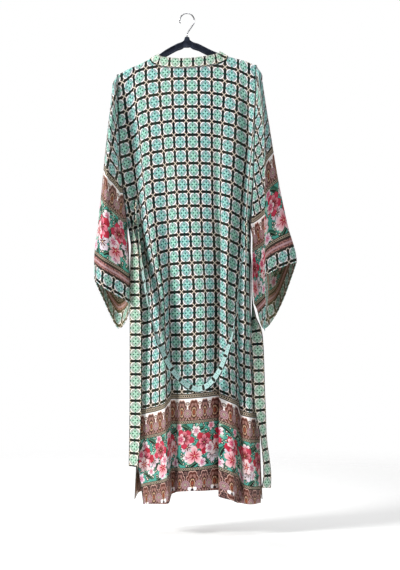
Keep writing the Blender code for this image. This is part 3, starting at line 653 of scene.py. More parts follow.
def sleeve_hem(group, calculate, across, up):
    """The sleeves' lowest band: part of a lattice row, then a rose band with scattered beads."""
    height = calculate("ADD", up, SLEEVE_LATTICE)
    lattice = placed(group, tile_group, {"Across": across, "Up": height})
    bead = scattered(group, flat_place(group, across, up), 0.2)
    rose = over(group, inside(group, bead, 0.4, 0.16), ink(120, 76, 80), ink(196, 146, 140))
    rose = over(group, inside(group, bead, 0.16, 0.1), rose, ink(168, 92, 66))
    middle = off(calculate, up, 0.5 * (SLEEVE_ROSE + SLEEVE_LINE))
    rose = over(group, inside(group, middle, 3.0, 1.0), rose, ink(196, 160, 166))
    rose = over(group, beyond(group, middle, 10.0, 1.0), rose, ink(60, 44, 44))
    return over(group, beyond(group, up, float(SLEEVE_ROSE)), lattice, rose)


def body_hem(group, calculate, across, up):
    """The body's lowest band: ornaments, with white fans and dark eyes along the hem itself."""
    height = calculate("ADD", up, 2.0)
    colour = placed(group, ornament_group, {"Across": across, "Height": height, "White": 0.0})
    x = folded(calculate, across, BAND_REPEAT)
    fan = calculate("SUBTRACT", calculate("ABSOLUTE", x), 7.0)
    fan = length_of(calculate, fan, calculate("SUBTRACT", up, 6.0))
    colour = over(group, inside(group, fan, 6.0, 0.8), colour, ink(250, 246, 248))
    eye = length_of(calculate, x, calculate("SUBTRACT", up, 3.0))
    return over(group, inside(group, eye, 4.0, 0.8), colour, ink(70, 50, 54))


def make_print_group(layout):
    """The whole print by place: across, and up from the hem. layout is body, sleeve or strip."""
    group, given, result = new_group(f"print of the {layout}", ("Across", "Up"), "Colour")
    calculate = calculator(group)
    across, up = given["Across"], given["Up"]
    if layout == "strip":
        group.links.new(placed(group, tile_group, {"Across": across, "Up": up}), result)
        return group
    if layout == "sleeve":
        height = calculate("MULTIPLY_ADD", up, SLEEVE_STRETCH, LOW_LINE - SLEEVE_LINE * SLEEVE_STRETCH)
        lattice_up = calculate("SUBTRACT", up, (LATTICE - LOW_LINE) / SLEEVE_STRETCH + SLEEVE_LINE)
        lattice_up = calculate("ADD", lattice_up, MANY_ROWS)
        colour = sleeve_hem(group, calculate, across, up)
    else:
        height = up
        lattice_up = calculate("SUBTRACT", height, float(LATTICE))
        lattice_up = calculate("ADD", lattice_up, MANY_ROWS - FIRST_ROW)
        colour = body_hem(group, calculate, across, up)

    def band(drawn, start, tall=1.0, **more):
        """One band with its start. tall stretches it to more than its own height."""
        at = calculate("SUBTRACT", height, float(start))
        at = calculate("MULTIPLY", at, 1 / tall) if tall != 1.0 else at
        return start, placed(group, drawn, {"Across": across, "Height": at, **more})

    for start, band_colour in (
        band(line_group, LOW_LINE),
        (FLOWERS, placed(group, flower_group, {"Across": across, "Up": height})),
        band(line_group, TOP_LINE),
        band(ornament_group, ORNAMENTS, White=1.0),
        band(line_group, LAST_LINE, (LATTICE - LAST_LINE) / LINE_HEIGHT),
        (LATTICE, placed(group, tile_group, {"Across": across, "Up": lattice_up})),
    ):
        colour = over(group, beyond(group, height, float(start)), colour, band_colour)
    group.links.new(colour, result)
    return group


print_groups = {layout: make_print_group(layout) for layout in ("body", "sleeve", "strip")}


def make_weave_group():
    """Height of a plain weave, by place across the cloth and up it."""
    group, given, result = new_group("plain weave", ("Across", "Up"), "Height")
    calculate = calculator(group)
    waves = [
        calculate("SINE", calculate("MULTIPLY", given[way], 2 * math.pi / THREAD))
        for way in ("Across", "Up")
    ]
    group.links.new(calculate("MULTIPLY_ADD", calculate("MULTIPLY", *waves), 0.5, 0.5), result)
    return group


weave_group = make_weave_group()


def printed_cloth(name, layout="body", wrong_side=False):
    """The cloth's material. Its wrong side shows the print paler and browner, as ink that came through."""
    made, tree, shader = new_material(name)
    calculate = calculator(tree)
    uv = tree.nodes.new("ShaderNodeUVMap")
    uv.uv_map = "print"
    parts = tree.nodes.new("ShaderNodeSeparateXYZ")
    tree.links.new(uv.outputs["UV"], parts.inputs[0])
    across = calculate("DIVIDE", parts.outputs["X"], MM)
    up = calculate("DIVIDE", parts.outputs["Y"], MM)
    colour = placed(tree, print_groups[layout], {"Across": across, "Up": up})
    # Faint faded patches.
    place = tree.nodes.new("ShaderNodeTexCoord")
    patches = tree.nodes.new("ShaderNodeTexNoise")
    patches.inputs["Scale"].default_value = 7.0
    patches.inputs["Detail"].default_value = 3.0
    tree.links.new(place.outputs["Object"], patches.inputs["Vector"])
    faded = calculate("MULTIPLY_ADD", patches.outputs["Fac"], 0.16, -0.05, clamp=True)
    colour = over(tree, faded, colour, ink(190, 180, 130))
    if wrong_side:
        colour = over(tree, 0.14, colour, ink(210, 196, 130))
    # Painted shade: the colour darkens along the sewn edges. It stands in for the shade in the seams'
    # creases, where the cloth is drawn in.
    sewn = tree.nodes.new("ShaderNodeAttribute")
    sewn.attribute_name = "sewn"
    # how strong the painted seam shade is, lighter on the folded strips
    depth = 0.4 if layout == "strip" else 0.8
    colour = over(tree, calculate("MULTIPLY", sewn.outputs["Fac"], depth), colour, ink(22, 32, 32))
    if layout == "strip":
        # On the belt's free curve the strips' pale inks turn bluer. On all strips they carry a painted
        # warm light, which makes them creamier. The dark bars stay.
        paler = tree.nodes.new("ShaderNodeAttribute")
        paler.attribute_name = "paler"
        levels = tree.nodes.new("ShaderNodeSeparateColor")
        tree.links.new(colour, levels.inputs[0])
        pale = beyond(tree, levels.outputs["Green"], 0.14, 0.1)
        lit = calculate("MULTIPLY", calculate("MULTIPLY", paler.outputs["Fac"], pale), 0.72)
        colour = over(tree, lit, colour, ink(164, 212, 224))
        # Painted warm light on the strips' pale inks.
        colour = over(tree, calculate("MULTIPLY", pale, 0.16), colour, ink(242, 236, 180))
    tree.links.new(colour, shader.inputs["Base Color"])
    shader.inputs["Roughness"].default_value = 0.78
    shader.inputs["Sheen Weight"].default_value = 0.05
    shader.inputs["Sheen Roughness"].default_value = 0.45
    shader.inputs["Specular IOR Level"].default_value = 0.2
    bump = tree.nodes.new("ShaderNodeBump")
    bump.inputs["Strength"].default_value = 0.35
    bump.inputs["Distance"].default_value = 0.06 * MM
    tree.links.new(placed(tree, weave_group, {"Across": across, "Up": up}), bump.inputs["Height"])
    tree.links.new(bump.outputs["Normal"], shader.inputs["Normal"])
    return made


# The back panel
# One piece of printed cloth from shoulder to hem, widening below the arms, with the hem left open at
# the sides. It turns over the hanger's arms and falls in a broad smooth middle between deep side folds.
WALL = 1.2
SEAM = 0.75  # from a seam's middle to the edge of each piece, where the two walls meet at an angle
SEAM_IN_LINE = 0.25  # the same where the two walls run on in line
BACK_HEM = 1425.0  # at the middle of the back, before the hang of the hanger is added
ARM_ENDS = (-203, 201)  # x of the last places where an arm carries the cloth
ROLL = 8.0  # radius of the cloth where it turns over an arm
LIE = 2.1  # from an arm's top to the middle of the cloth on it
FOLDS_FROM = 90.0  # below an arm the cloth's depth has eased into its folds
BACK_GRID = (140, 270)  # columns and rows
TOP_ROWS = 60.0 * np.linspace(0, 1, 22) ** 2.2  # distances of a panel's first rows below its top edge
# The side edges: drop, x and y, how far the front's edge lies further left, and half the gap in depth.
SIDE_LEFT = (
    (184, -209, 0, 0, 7), (228, -208, 0, 0, 15), (330, -205, 0, 0, 24), (480, -196, 0, 0, 25),
    (600, -183, 0, 0, 14), (640, -177, 1, 0, 0), (710, -168, 5, 0, 0), (880, -167, 10, 0, 0),
    (1160, -159, 12, 0, 0), (1290, -154, 13, 0, 0), (1470, -132, 16, 27, 9),
)
SIDE_RIGHT = (
    (158, 208, 0, 0, 7), (205, 207, 0, 0, 15), (310, 204, 0, 0, 24), (460, 200, 0, 0, 25),
    (600, 193, 0, 0, 14), (640, 189, 0, 0, 0), (710, 187, -1, 0, 0), (880, 187, 1, 0, 0),
    (960, 194, 3, 0, 0), (1160, 216, 6, 0, 0), (1290, 220, 8, 0, 0), (1470, 222, 14, -6, 9),
)
SIDE_FLAT = ((-5.3, -6.6), (5.6, 7.9))  # in tiles, at the shoulder and below the flare
FLARE = (190, 710)  # the drops between which the sides widen
FOLD_LEVELS = (190, 360, 530, 710, 880, 1160, 1470)
# Lines down the folds: place in tiles at the shoulder and below the flare, then x and y at each level.
BACK_FOLDS = (
    (-4.7, -5.4, (-184, -171, -154, -133, -115, -118, -108), (-12, 4, 4, -8, -12, -14, -14)),
    (-3.6, -3.3, (-146, -129, -116, -90, -68, -66, -54), (-17, -26, -34, -54, -64, -60, -66)),
    (-2.05, -2.05, (-86, -75, -63, -56, -54, -46, -45), (-18, -33, -28, -22, -18, -16, -20)),
    (-1.0, -1.0, (-45, -39, -30, -22, -15, -15, -24), (-19, -38, -40, -42, -40, -38, -40)),
    (0.6, 0.6, (19, 21, 26, 34, 44, 42, 39), (-20, -42, -48, -56, -54, -54, -56)),
    (2.0, 2.0, (74, 74, 75, 81, 86, 82, 81), (-19, -38, -40, -36, -30, -30, -32)),
    (2.5, 2.45, (92, 90, 89, 98, 105, 105, 105), (-18, -34, -32, -18, -10, -12, -12)),
    (3.05, 3.05, (116, 106, 101, 100, 98, 96, 94), (-18, -34, -38, -38, -35, -38, -42)),
    (4.0, 4.0, (153, 144, 134, 123, 118, 129, 135), (-17, -32, -40, -56, -62, -62, -60)),
    (4.85, 5.3, (180, 182, 171, 162, 153, 154, 158), (-12, -4, -6, -24, -22, -22, -22)),
    (5.25, 6.4, (195, 192, 183, 177, 177, 183, 189), (-13, -18, -20, -46, -52, -50, -48)),
)
# How far the hem hangs lower, by place across in tiles.
BACK_DIP = (
    (-6.6, 46), (-5.0, 42), (-3.3, 36), (-2.0, 12), (-1.0, 4), (0.6, 0), (2.0, 0), (3.0, 16),
    (4.0, 28), (5.3, 40), (7.9, 42),
)
# How far the print's rows hang lower, by place across: at the shoulder blades, and at the hem.
ROWS_DIP = (
    (-6.6, 74), (-5.3, 58), (-4.7, 46), (-3.6, 18), (-2.9, 10), (-2.0, 5), (-1.0, 1), (0.0, 0), (1.0, 0),
    (2.0, 2), (3.0, 7), (4.0, 17), (4.9, 31), (5.6, 40), (7.9, 52),
)
ROWS_DIP_LOW = (
    (-6.6, 56), (-3.3, 28), (-2.05, 4), (-1.0, 3), (0.6, -2), (2.0, -6), (2.5, -7), (3.05, -2), (4.0, 12),
    (5.2, 26), (5.6, 50), (7.9, 62),
)
ROWS_TURN = (560, 1100)  # between these drops the rows change from the one to the other
# x and drop of the back's neck edge.
NECK = (
    (-111, 136.1), (-110, 137.2), (-109, 139.3), (-107, 144), (-96, 151), (-81, 158), (-51, 162),
    (-21, 164), (9, 163), (39, 160), (69, 156), (96, 149), (108, 144), (119, 136.4), (121, 132),
    (122, 129.4), (123, 128.1),
)
NECK_FLAT = (-2.72, 3.22)  # its ends, in tiles
NECK_CORNER = (0.0125, 0.025, 0.0375, 0.05)  # tiles from each end to the columns that lie close there
CORNER_APART = 0.03  # an even column nearer than this to one of those is left out
# Creases: tiles across at their two ends, drops of the ends, width, depth. A minus depth is a trough.
BACK_CREASES = (
    (-5.0, -5.6, 260, 620, 16, -4.5), (-4.3, -4.6, 420, 900, 12, 3.6), (-3.2, -2.9, 520, 1010, 15, -4.8),
    (-2.6, -2.5, 700, 1390, 11, 3.3), (-1.55, -1.5, 330, 780, 22, 2.7), (-1.45, -1.6, 860, 1430, 14, -3.9),
    (-0.35, -0.3, 640, 1120, 18, 2.4), (0.1, 0.35, 960, 1430, 13, -3.3), (0.9, 1.2, 420, 900, 20, -2.4),
    (1.45, 1.5, 900, 1430, 12, 3.6), (2.75, 2.8, 380, 1020, 9, -3.0), (3.5, 3.6, 300, 760, 13, 3.6),
    (3.5, 3.55, 880, 1430, 12, -4.5), (4.5, 4.7, 520, 1180, 12, -3.6), (5.0, 6.0, 700, 1420, 14, 3.9),
    (-5.2, -3.6, 215, 330, 10, 2.7), (5.3, 4.1, 190, 300, 10, 2.7), (-4.9, -6.0, 960, 1440, 12, 3.6),
    (-1.8, -1.8, 1020, 1800, 9, -5.5), (5.35, 5.4, 1000, 1800, 9, -5.0), (2.35, 2.4, 1080, 1800, 7, -4.0),
    (-4.6, -3.9, 225, 640, 14, -4.5), (4.5, 4.9, 250, 640, 12, -4.5), (-3.4, -3.3, 640, 1000, 9, -4.0),
)
CREASE_END = 0.7  # below 1 a crease ends more bluntly
RIPPLE = 0.5  # height of the faint ripple all over, then its two waves across by tile and down by drop
RIPPLE_ACROSS, RIPPLE_DOWN = (2.9, 1.3), (61.0, 97.0)
# How far the right side seam stands out under the arm, then the x and the drops between which that
# grows, and the drops between which it fades.
SIDE_BELLY = (4.6, (150, 180), (620, 680), (1010, 950))
# Painted shade along the sewn edges, where the seams' creases would be shaded:
SEAM_SHADE_FULL = 0.2  # the dark line along a sewn edge is full within this share of its width
SEAM_SHADE_WIDE, SEAM_SHADE_NARROW = 3.5, 1.5  # its width on single cloth, and on folded strips


def ease(share):
    """The share from 0 to 1, leaving 0 and reaching 1 softly."""
    share = np.clip(share, 0.0, 1.0)
    return share * share * (3 - 2 * share)


def between(value, start, stop):
    """0 at start and 1 at stop, which may be the lower of the two, with a soft change between."""
    return ease((value - start) / (stop - start))


def cloth_top(x):
    """Drop of cloth that lies on the hanger, in the middle of its wall. Past the arms it runs on level."""
    return arm_top(np.clip(x, *ARM_ENDS)) - LIE


def roll(y, below, face):
    """Depth of cloth that hangs from an arm: it turns over the arm, then eases into its folds.

    face is -1 for the back of the coat and 1 for its front.
    """
    fall = np.clip(below, 0, ROLL)
    rolled = face * (SEAM_IN_LINE + (1 - SEAM_IN_LINE / ROLL) * np.sqrt(fall * (2 * ROLL - fall)))
    share = ease(below / FOLDS_FROM)
    return rolled * (1 - share) + y * share


def side_edge(right, face, drop):
    """x and y of a side edge of the body, on the back or the front."""
    table = SIDE_RIGHT if right else SIDE_LEFT
    drops = column(table, 0)
    x, y, apart_x, apart_y = (smooth(drops, column(table, i), drop) for i in (1, 2, 3, 4))
    if face > 0:
        x = x - apart_x
    x = x + (-SEAM if right else SEAM)
    return x, y + face * np.maximum(apart_y, SEAM)


def through(lines, drop, flat):
    """x and y of cloth at each drop and place across. A line gives its place, x and y at a drop."""
    drop, flat = np.broadcast_arrays(drop, flat)
    at = [line(drop.ravel()) for line in lines]
    places, xs, ys = (np.array([line[i] for line in at]) for i in (0, 1, 2))
    x = smooth(places, xs, flat.ravel())
    y = smooth(places, ys, flat.ravel())
    return x.reshape(drop.shape), y.reshape(drop.shape)


def back_line(row):
    """A fold's line down the back, as through() reads it."""
    top, low, xs, ys = row

    def line(drop):
        place = TILE * smooth(FLARE, (top, low), drop)
        return place, smooth(FOLD_LEVELS, xs, drop), smooth(FOLD_LEVELS, ys, drop)

    return line


def back_side_line(right):
    """A side edge of the back, as through() reads it."""

    def line(drop):
        place = TILE * smooth(FLARE, SIDE_FLAT[right], drop)
        return (place, *side_edge(right, -1, drop))

    return line


BACK_LINES = [back_side_line(False), *(back_line(row) for row in BACK_FOLDS), back_side_line(True)]


def shoulder_x(tile):
    """x of the back's columns at the shoulder, where the cloth lies flat over the arms."""
    places = [SIDE_FLAT[0][0], *column(BACK_FOLDS, 0), SIDE_FLAT[1][0]]
    xs = [SIDE_LEFT[0][1] + SEAM, *(row[2][0] for row in BACK_FOLDS), SIDE_RIGHT[0][1] - SEAM]
    return smooth(places, xs, tile)


def back_top(tile):
    """Drop of the back's top edge: on the arms, and along the neck between its ends."""
    x = shoulder_x(tile)
    neck = smooth(column(NECK, 0), column(NECK, 1), x)
    return np.where((x > NECK[0][0]) & (x < NECK[-1][0]), neck, cloth_top(x))


def row_drops(top, hem, rows):
    """Drops of a panel's rows: close together over the arms, even below them."""
    fixed = np.array(TOP_ROWS)[:, None]
    even = np.linspace(0, 1, rows + 2 - len(TOP_ROWS))[1:, None]
    start = top[None] + TOP_ROWS[-1]
    return np.concatenate([top[None] + fixed, start + (hem[None] - start) * even])


def back_grid(columns, rows):
    """Points of the back, as rows of x, y and drop, and the place of each column at the shoulder."""
    left, right = SIDE_FLAT[0][0], SIDE_FLAT[1][0]
    inward = np.array([0, *NECK_CORNER])
    corners = np.concatenate([NECK_FLAT[0] + inward, NECK_FLAT[1] - inward])
    even = np.linspace(left, right, columns + 1)
    apart = np.abs(even[:, None] - corners[None]).min(axis=1)
    tile_top = np.sort(np.concatenate([even[apart > CORNER_APART], corners]))[None, :]
    share = (tile_top - left) / (right - left)
    tile_low = SIDE_FLAT[0][1] + share * (SIDE_FLAT[1][1] - SIDE_FLAT[0][1])
    hem = BACK_HEM + smooth(column(BACK_DIP, 0), column(BACK_DIP, 1), tile_low[0])
    drop = row_drops(back_top(tile_top[0]), hem, rows)
    flare = smooth(FLARE, (0, 1), drop.ravel()).reshape(drop.shape)
    flat = TILE * (tile_top * (1 - flare) + tile_low * flare)
    x, y = through(BACK_LINES, drop, flat)
    y = roll(y, drop - cloth_top(shoulder_x(tile_top[0])), -1)
    return np.stack([x, y, drop], -1), tile_top[0]


def lengths_across(points):
    """Distance along the cloth of each point from the first of its row."""
    steps = np.linalg.norm(np.diff(points, axis=1), axis=2)
    return np.concatenate([np.zeros((len(points), 1)), np.cumsum(steps, axis=1)], axis=1)


def lengths_down(points):
    """Distance along the cloth of each point from the first of its column."""
    steps = np.linalg.norm(np.diff(points, axis=0), axis=2)
    return np.concatenate([np.zeros((1, points.shape[1])), np.cumsum(steps, axis=0)], axis=0)


def normals(points, face):
    """Unit normals of a grid. face is 1 or -1, and picks the side of the cloth that they stand on."""
    down = np.gradient(points, axis=0)
    across = np.gradient(points, axis=1)
    facing = np.cross(across, down) * face
    return facing / np.maximum(np.linalg.norm(facing, axis=2), 1e-9)[..., None]


def creased(points, tiles, creases, face, still=20.0):
    """The grid with soft creases and a faint ripple, raised towards one face of the cloth.

    Within about still of its side edges, and three times that of its top, it stays nearly as it was.
    """
    drop = points[..., 2]
    raised = np.zeros(drop.shape)
    for first, last, top, low, width, depth in creases:
        down = np.clip((drop - top) / (low - top), 0, 1)
        away = (tiles - first - (last - first) * down) * TILE
        raised += depth * np.exp(-((away / width) ** 2)) * np.sin(np.pi * down) ** CREASE_END
    one, two = (np.sin(tiles * a + drop / d) for a, d in zip(RIPPLE_ACROSS, RIPPLE_DOWN))
    raised += RIPPLE * one * two
    beside = lengths_across(points)
    below = lengths_down(points)
    edge = np.minimum(beside, beside[:, -1:] - beside)
    held = ease(edge / still) * ease(below / (3 * still))
    return points + normals(points, face) * (raised * held)[..., None]


def cloth_wall(name, points, across, up, looks, thickness, closed_from=None, flip=False):
    """A cloth wall on a grid of points. Rows from closed_from down are rings.

    Its UV map holds the place in the print in metres: along the cloth's width, and up from the hem. Its
    sewn attribute, the mask of the painted seam shade, is 1 along the edges. flip turns the faces, so that
    the first look is on the outside.
    """
    rows, columns = points.shape[:2]
    index = np.arange(rows * columns).reshape(rows, columns)
    used = np.ones((rows, columns), bool)
    if closed_from is not None:
        index[closed_from:, -1] = index[closed_from:, 0]
        used[closed_from:, -1] = False
    fresh = np.cumsum(used.ravel()) - 1
    index = fresh[index]
    places = points.reshape(-1, 3)[used.ravel()] * [MM, MM, -MM]
    corners = [(0, 0), (1, 0), (1, 1), (0, 1)]
    if flip:
        corners.reverse()
    cut = [(slice(i, rows - 1 + i), slice(j, columns - 1 + j)) for i, j in corners]
    faces = np.stack([index[c] for c in cut], -1).reshape(-1, 4)
    prints = np.stack([across, np.broadcast_to(up, across.shape)], -1) * MM
    corner_prints = np.stack([prints[c] for c in cut], 2).reshape(-1, 2)
    mesh = bpy.data.meshes.new(name)
    mesh.from_pydata(places.tolist(), [], faces.tolist())
    layer = mesh.uv_layers.new(name="print")
    layer.data.foreach_set("uv", corner_prints.ravel().astype(np.float32))
    # The mask of the painted seam shade: 1 along every edge, fading inwards.
    beside = lengths_across(points)
    edge = np.minimum(np.minimum(beside, beside[:, -1:] - beside), lengths_down(points))
    width = SEAM_SHADE_WIDE if thickness == WALL else SEAM_SHADE_NARROW
    sewn = np.clip(1 + SEAM_SHADE_FULL - edge / width, 0, 1).astype(np.float32)
    mesh.attributes.new("sewn", "FLOAT", "POINT").data.foreach_set("value", sewn.ravel()[used.ravel()])
    made = add_piece(name, mesh, *looks)
    wall = made.modifiers.new("wall", "SOLIDIFY")
    wall.thickness = thickness * MM
    wall.offset = 0.0
    wall.use_even_offset = False
    if len(looks) > 1:
        wall.material_offset = 1
    return made


def shifted(points, by, across, growing, fading):
    """The grid with one patch moved along x: full past across, and between the drops of the other two."""
    x, drop = points[..., 0], points[..., 2]
    moved = points.copy()
    moved[..., 0] += by * between(x, *across) * between(drop, *growing) * between(drop, *fading)
    return moved


back_base, back_tiles = back_grid(*BACK_GRID)
tile_low = np.interp(back_tiles, (SIDE_FLAT[0][0], SIDE_FLAT[1][0]), (SIDE_FLAT[0][1], SIDE_FLAT[1][1]))
flare = smooth(FLARE, (0, 1), back_base[..., 2].ravel()).reshape(back_base.shape[:2])
back_flat = back_tiles * (1 - flare) + tile_low * flare
back_points = shifted(creased(back_base, back_flat, BACK_CREASES, 1), *SIDE_BELLY)
high, low = (
    smooth(column(table, 0), column(table, 1), back_flat.ravel()).reshape(back_flat.shape)
    for table in (ROWS_DIP, ROWS_DIP_LOW)
)
turned = between(back_base[..., 2], *ROWS_TURN)
rows_dip = high * (1 - turned) + low * turned
right_side = printed_cloth("printed cloth")
wrong_side = printed_cloth("printed cloth inside", wrong_side=True)
back = cloth_wall(
    "coat_back", back_points, back_flat * TILE, BACK_HEM + rows_dip - back_base[..., 2],
    (right_side, wrong_side), WALL,
)
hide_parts("back_panel")

# The fronts
# Two pieces that meet the back along the shoulders and sides. Their inner edges run straight down
# from the neck, and the neckband is sewn to them.
FRONT_HEM = 1418.0  # at the fronts' inner edges
FRONT_DIP = 40.0  # how far the fronts hang lower at the sides
SIDES_FROM = 150.0  # below an arm a front's columns have eased into their own places
FRONT_GRID = (76, 230)
# Lines down the folds: place as a share of the width, then x and y at each level.
FRONT_FOLDS = (
    (0.22, (-196, -188, -174, -157, -155, -150, -148), (13, 32, 40, 50, 52, 54, 58)),
    (0.40, (-178, -166, -150, -134, -132, -130, -132), (12, 20, 24, 30, 34, 36, 38)),
    (0.62, (-152, -138, -124, -110, -106, -106, -108), (14, 40, 54, 72, 78, 82, 84)),
    (0.80, (-128, -110, -98, -88, -86, -86, -88), (13, 28, 34, 44, 46, 48, 50)),
    (1.00, (-100, -78, -68, -61, -60, -60, -62), (15, 34, 50, 64, 70, 74, 76)),
)
FRONT_CENTRE = (6.0, 8.0)  # x of the plane the fronts are mirrored about, at the neck and low down
FRONT_RIGHT_DEPTH = 0.96  # the right front's folds are this much flatter
# In these rows the two ends across are shares of the front's width, counted as ten tiles, and a plus
# depth goes inwards.
FRONT_CREASES = (
    (1.2, 1.4, 300, 800, 12, 2.4), (2.9, 3.1, 240, 700, 14, -2.2), (4.6, 5.2, 460, 1100, 16, 2.6),
    (5.6, 5.4, 780, 1420, 12, -2.6), (7.2, 7.0, 260, 760, 14, 2.0), (7.6, 7.9, 840, 1430, 13, 2.4),
    (8.9, 8.8, 420, 980, 9, -1.8), (2.2, 1.8, 820, 1430, 13, -2.8), (3.6, 3.9, 1000, 1440, 10, 2.0),
)


def front_line(row, right):
    """A fold's line down a front, as through() reads it. The right front's is mirrored."""
    share, xs, ys = row

    def line(drop):
        x = smooth(FOLD_LEVELS, xs, drop)
        y = smooth(FOLD_LEVELS, ys, drop)
        if right:
            outward = side_edge(True, 1, drop)[0] + side_edge(False, 1, drop)[0]
            inner = 2 * smooth(FLARE, FRONT_CENTRE, drop)
            x = -x + outward * (1 - share) + inner * share
            y = y * FRONT_RIGHT_DEPTH
        return np.full(drop.shape, share), x, y

    return line


def front_grid(columns, rows, right):
    """Points of a front, from its side edge to its inner edge, as rows of x, y and drop."""
    lines = [lambda drop: (np.zeros(drop.shape), *side_edge(right, 1, drop))]
    lines += [front_line(row, right) for row in FRONT_FOLDS]
    share = np.linspace(0, 1, columns + 1)[None, :]
    # At the shoulder the front's columns stand over the back's, from the armhole to the neck.
    ends = (SIDE_FLAT[1][0], NECK_FLAT[1]) if right else (SIDE_FLAT[0][0], NECK_FLAT[0])
    tile = ends[0] + share * (ends[1] - ends[0])
    arms = cloth_top(shoulder_x(tile[0]))[None, :]
    hem = FRONT_HEM + FRONT_DIP * (1 - share[0]) ** 2
    drop = row_drops(arms[0], hem, rows)
    x, y = through(lines, drop, share)
    # The top edge keeps the back's x, so that the two meet along the shoulder seam.
    settle = ease((drop - arms) / SIDES_FROM)
    settle[:, 0] = 1.0
    x = shoulder_x(tile[0])[None, :] * (1 - settle) + x * settle
    y = roll(y, drop - arms, 1)
    return np.stack([x, y, drop], -1)


fronts = {}
for side, right in (("left", False), ("right", True)):
    base = front_grid(*FRONT_GRID, right)
    width = lengths_across(base)
    share = np.linspace(0, 1, base.shape[1])[None, :]
    shape = creased(base, 10 * np.broadcast_to(share, width.shape), FRONT_CREASES, -1 if right else 1)
    shape = shifted(shape, *SIDE_BELLY)
    # The cloth's lengthwise threads run along the inner edge.
    across = (width[:, -1:] - width) * (1 if right else -1) + 0.5 * TILE
    hem = FRONT_HEM + FRONT_DIP * (1 - share) ** 2
    front = cloth_wall(
        f"coat_front_{side}", shape, across, hem - base[..., 2], (right_side, wrong_side), WALL,
        flip=not right,
    )
    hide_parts(f"front_{side}")
    fronts[side] = shape

# The sleeves
# Each is one piece sewn into a short wide tube. Its top goes over the end of the shoulder, and its cuff
# hangs open, so that the print of the border shows on its folded faces.
UNDERARM = 640.0
# Of the left sleeve, then the right: drops, lines down the folds as a share of the way round, the cuff's
# drop, and x and y at each level, and drop, x and y of the seam under the arm.
SLEEVE_LEVELS = ((225, 330, 480, 640, 740, 945), (200, 312, 474, 633, 744, 945))
SLEEVE_FOLDS = (
    (
        (0.14, 867, (-211, -210, -203, -190, -184, -178), (-20, -36, -42, -36, -36, -34)),
        (0.24, 845, (-213, -216, -216, -213, -210, -208), (-24, -44, -56, -58, -60, -60)),
        (0.36, 820, (-217, -226, -237, -243, -247, -249), (-26, -52, -70, -80, -84, -84)),
        (0.50, 798, (-223, -235, -250, -266, -277, -270), (-6, -14, -22, -28, -30, -28)),
        (0.62, 852, (-221, -231, -240, -254, -259, -250), (14, 24, 30, 34, 34, 30)),
        (0.76, 945, (-216, -220, -222, -219, -215, -208), (24, 44, 60, 72, 76, 70)),
        (0.90, 915, (-211, -208, -203, -194, -187, -182), (18, 32, 38, 38, 36, 32)),
    ),
    (
        (0.10, 867, (208, 206, 203, 196, 195, 203), (-20, -36, -44, -46, -46, -46)),
        (0.20, 951, (213, 225, 241, 247, 249, 232), (-22, -42, -46, -46, -46, -46)),
        (0.34, 797, (215, 226, 231, 231, 231, 231), (-26, -52, -72, -82, -84, -84)),
        (0.50, 745, (225, 242, 268, 300, 328, 330), (-6, -14, -24, -30, -30, -30)),
        (0.64, 845, (223, 236, 255, 280, 293, 297), (14, 24, 32, 36, 36, 34)),
        (0.78, 910, (218, 225, 237, 249, 261, 267), (24, 44, 60, 72, 76, 72)),
        (0.90, 945, (211, 213, 216, 219, 222, 232), (18, 32, 38, 40, 42, 40)),
    ),
)
SLEEVE_SEAM = (
    ((640, -178, 1), (680, -182, 2), (780, -179, 2), (867, -175, 2)),
    ((640, 190, 0), (680, 199, 4), (780, 203, 6), (867, 206, 6)),
)
SLEEVE_START = 6.0  # from the cloth's top line to the ends of the seam
SLEEVE_SPREAD = 34.0  # below its top edge a sleeve reaches its full section
SLEEVE_CLOSES = 12.0  # over this height above the underarm the two edges close into a tube
SLEEVE_CROWD = 1.4  # how much closer a sleeve's first rows lie
SLEEVE_GRID = (170, 140)
# In these rows the two ends across are shares of the way round, counted as ten tiles, and a plus depth
# goes inwards.
SLEEVE_CREASES = (
    (
        (1.8, 1.9, 300, 700, 10, -2.6), (2.9, 3.2, 260, 640, 9, 2.0), (3.6, 3.1, 420, 830, 10, -2.4),
        (4.4, 4.3, 330, 800, 9, 2.2), (5.6, 5.9, 280, 760, 11, -2.0), (6.6, 6.3, 420, 880, 10, 2.4),
        (8.3, 8.4, 330, 900, 10, -2.2),
    ),
    (
        (1.4, 1.6, 300, 760, 9, 2.0), (2.7, 2.9, 260, 700, 10, -2.4), (3.9, 4.2, 300, 780, 10, 2.2),
        (4.6, 4.5, 420, 760, 9, -2.0), (5.8, 5.6, 260, 700, 11, 2.2), (7.0, 7.2, 380, 860, 10, -2.4),
        (8.6, 8.3, 300, 880, 10, 2.0),
    ),
)
SLEEVE_STILL = 12.0  # of its edges, that creases leave nearly as they are
# Where the print's cuff line runs, by share of the way round: the left sleeve's is its cuff, and the
# right sleeve's inner back face is turned, so its print hangs lower there.
RIGHT_PRINT = (
    (0.0, 958), (0.10, 958), (0.20, 906), (0.34, 797), (0.50, 745), (0.64, 845), (0.78, 910), (1.0, 945),
)
# How much nearer to the body the left sleeve's inner fold hangs, then the x and the drops between which
# that grows, and the drops between which it fades.
LEFT_TUCK = (7.0, (-235, -185), (640, 700), (930, 870))


def sleeve_line(row, right):
    """A fold's line down a sleeve, as through() reads it."""
    share, _, xs, ys = row
    levels = SLEEVE_LEVELS[right]

    def line(drop):
        return np.full(drop.shape, share), smooth(levels, xs, drop), smooth(levels, ys, drop)

    return line


def sleeve_seam(right, face, drop):
    """x and y of a sleeve's seam: along the armhole, then round the closed tube under it."""
    x, y = side_edge(right, face, np.minimum(drop, UNDERARM))
    x = x + (2 * SEAM if right else -2 * SEAM)
    y = roll(y, drop - cloth_top(ARM_ENDS[right]), face)
    table = SLEEVE_SEAM[right]
    low_x, low_y = (smooth(column(table, 0), column(table, i), drop) for i in (1, 2))
    # Just above the underarm the two edges close on the tube's single line.
    near = ease((drop - UNDERARM + SLEEVE_CLOSES) / SLEEVE_CLOSES)
    return x * (1 - near) + low_x * near, y * (1 - near) + low_y * near


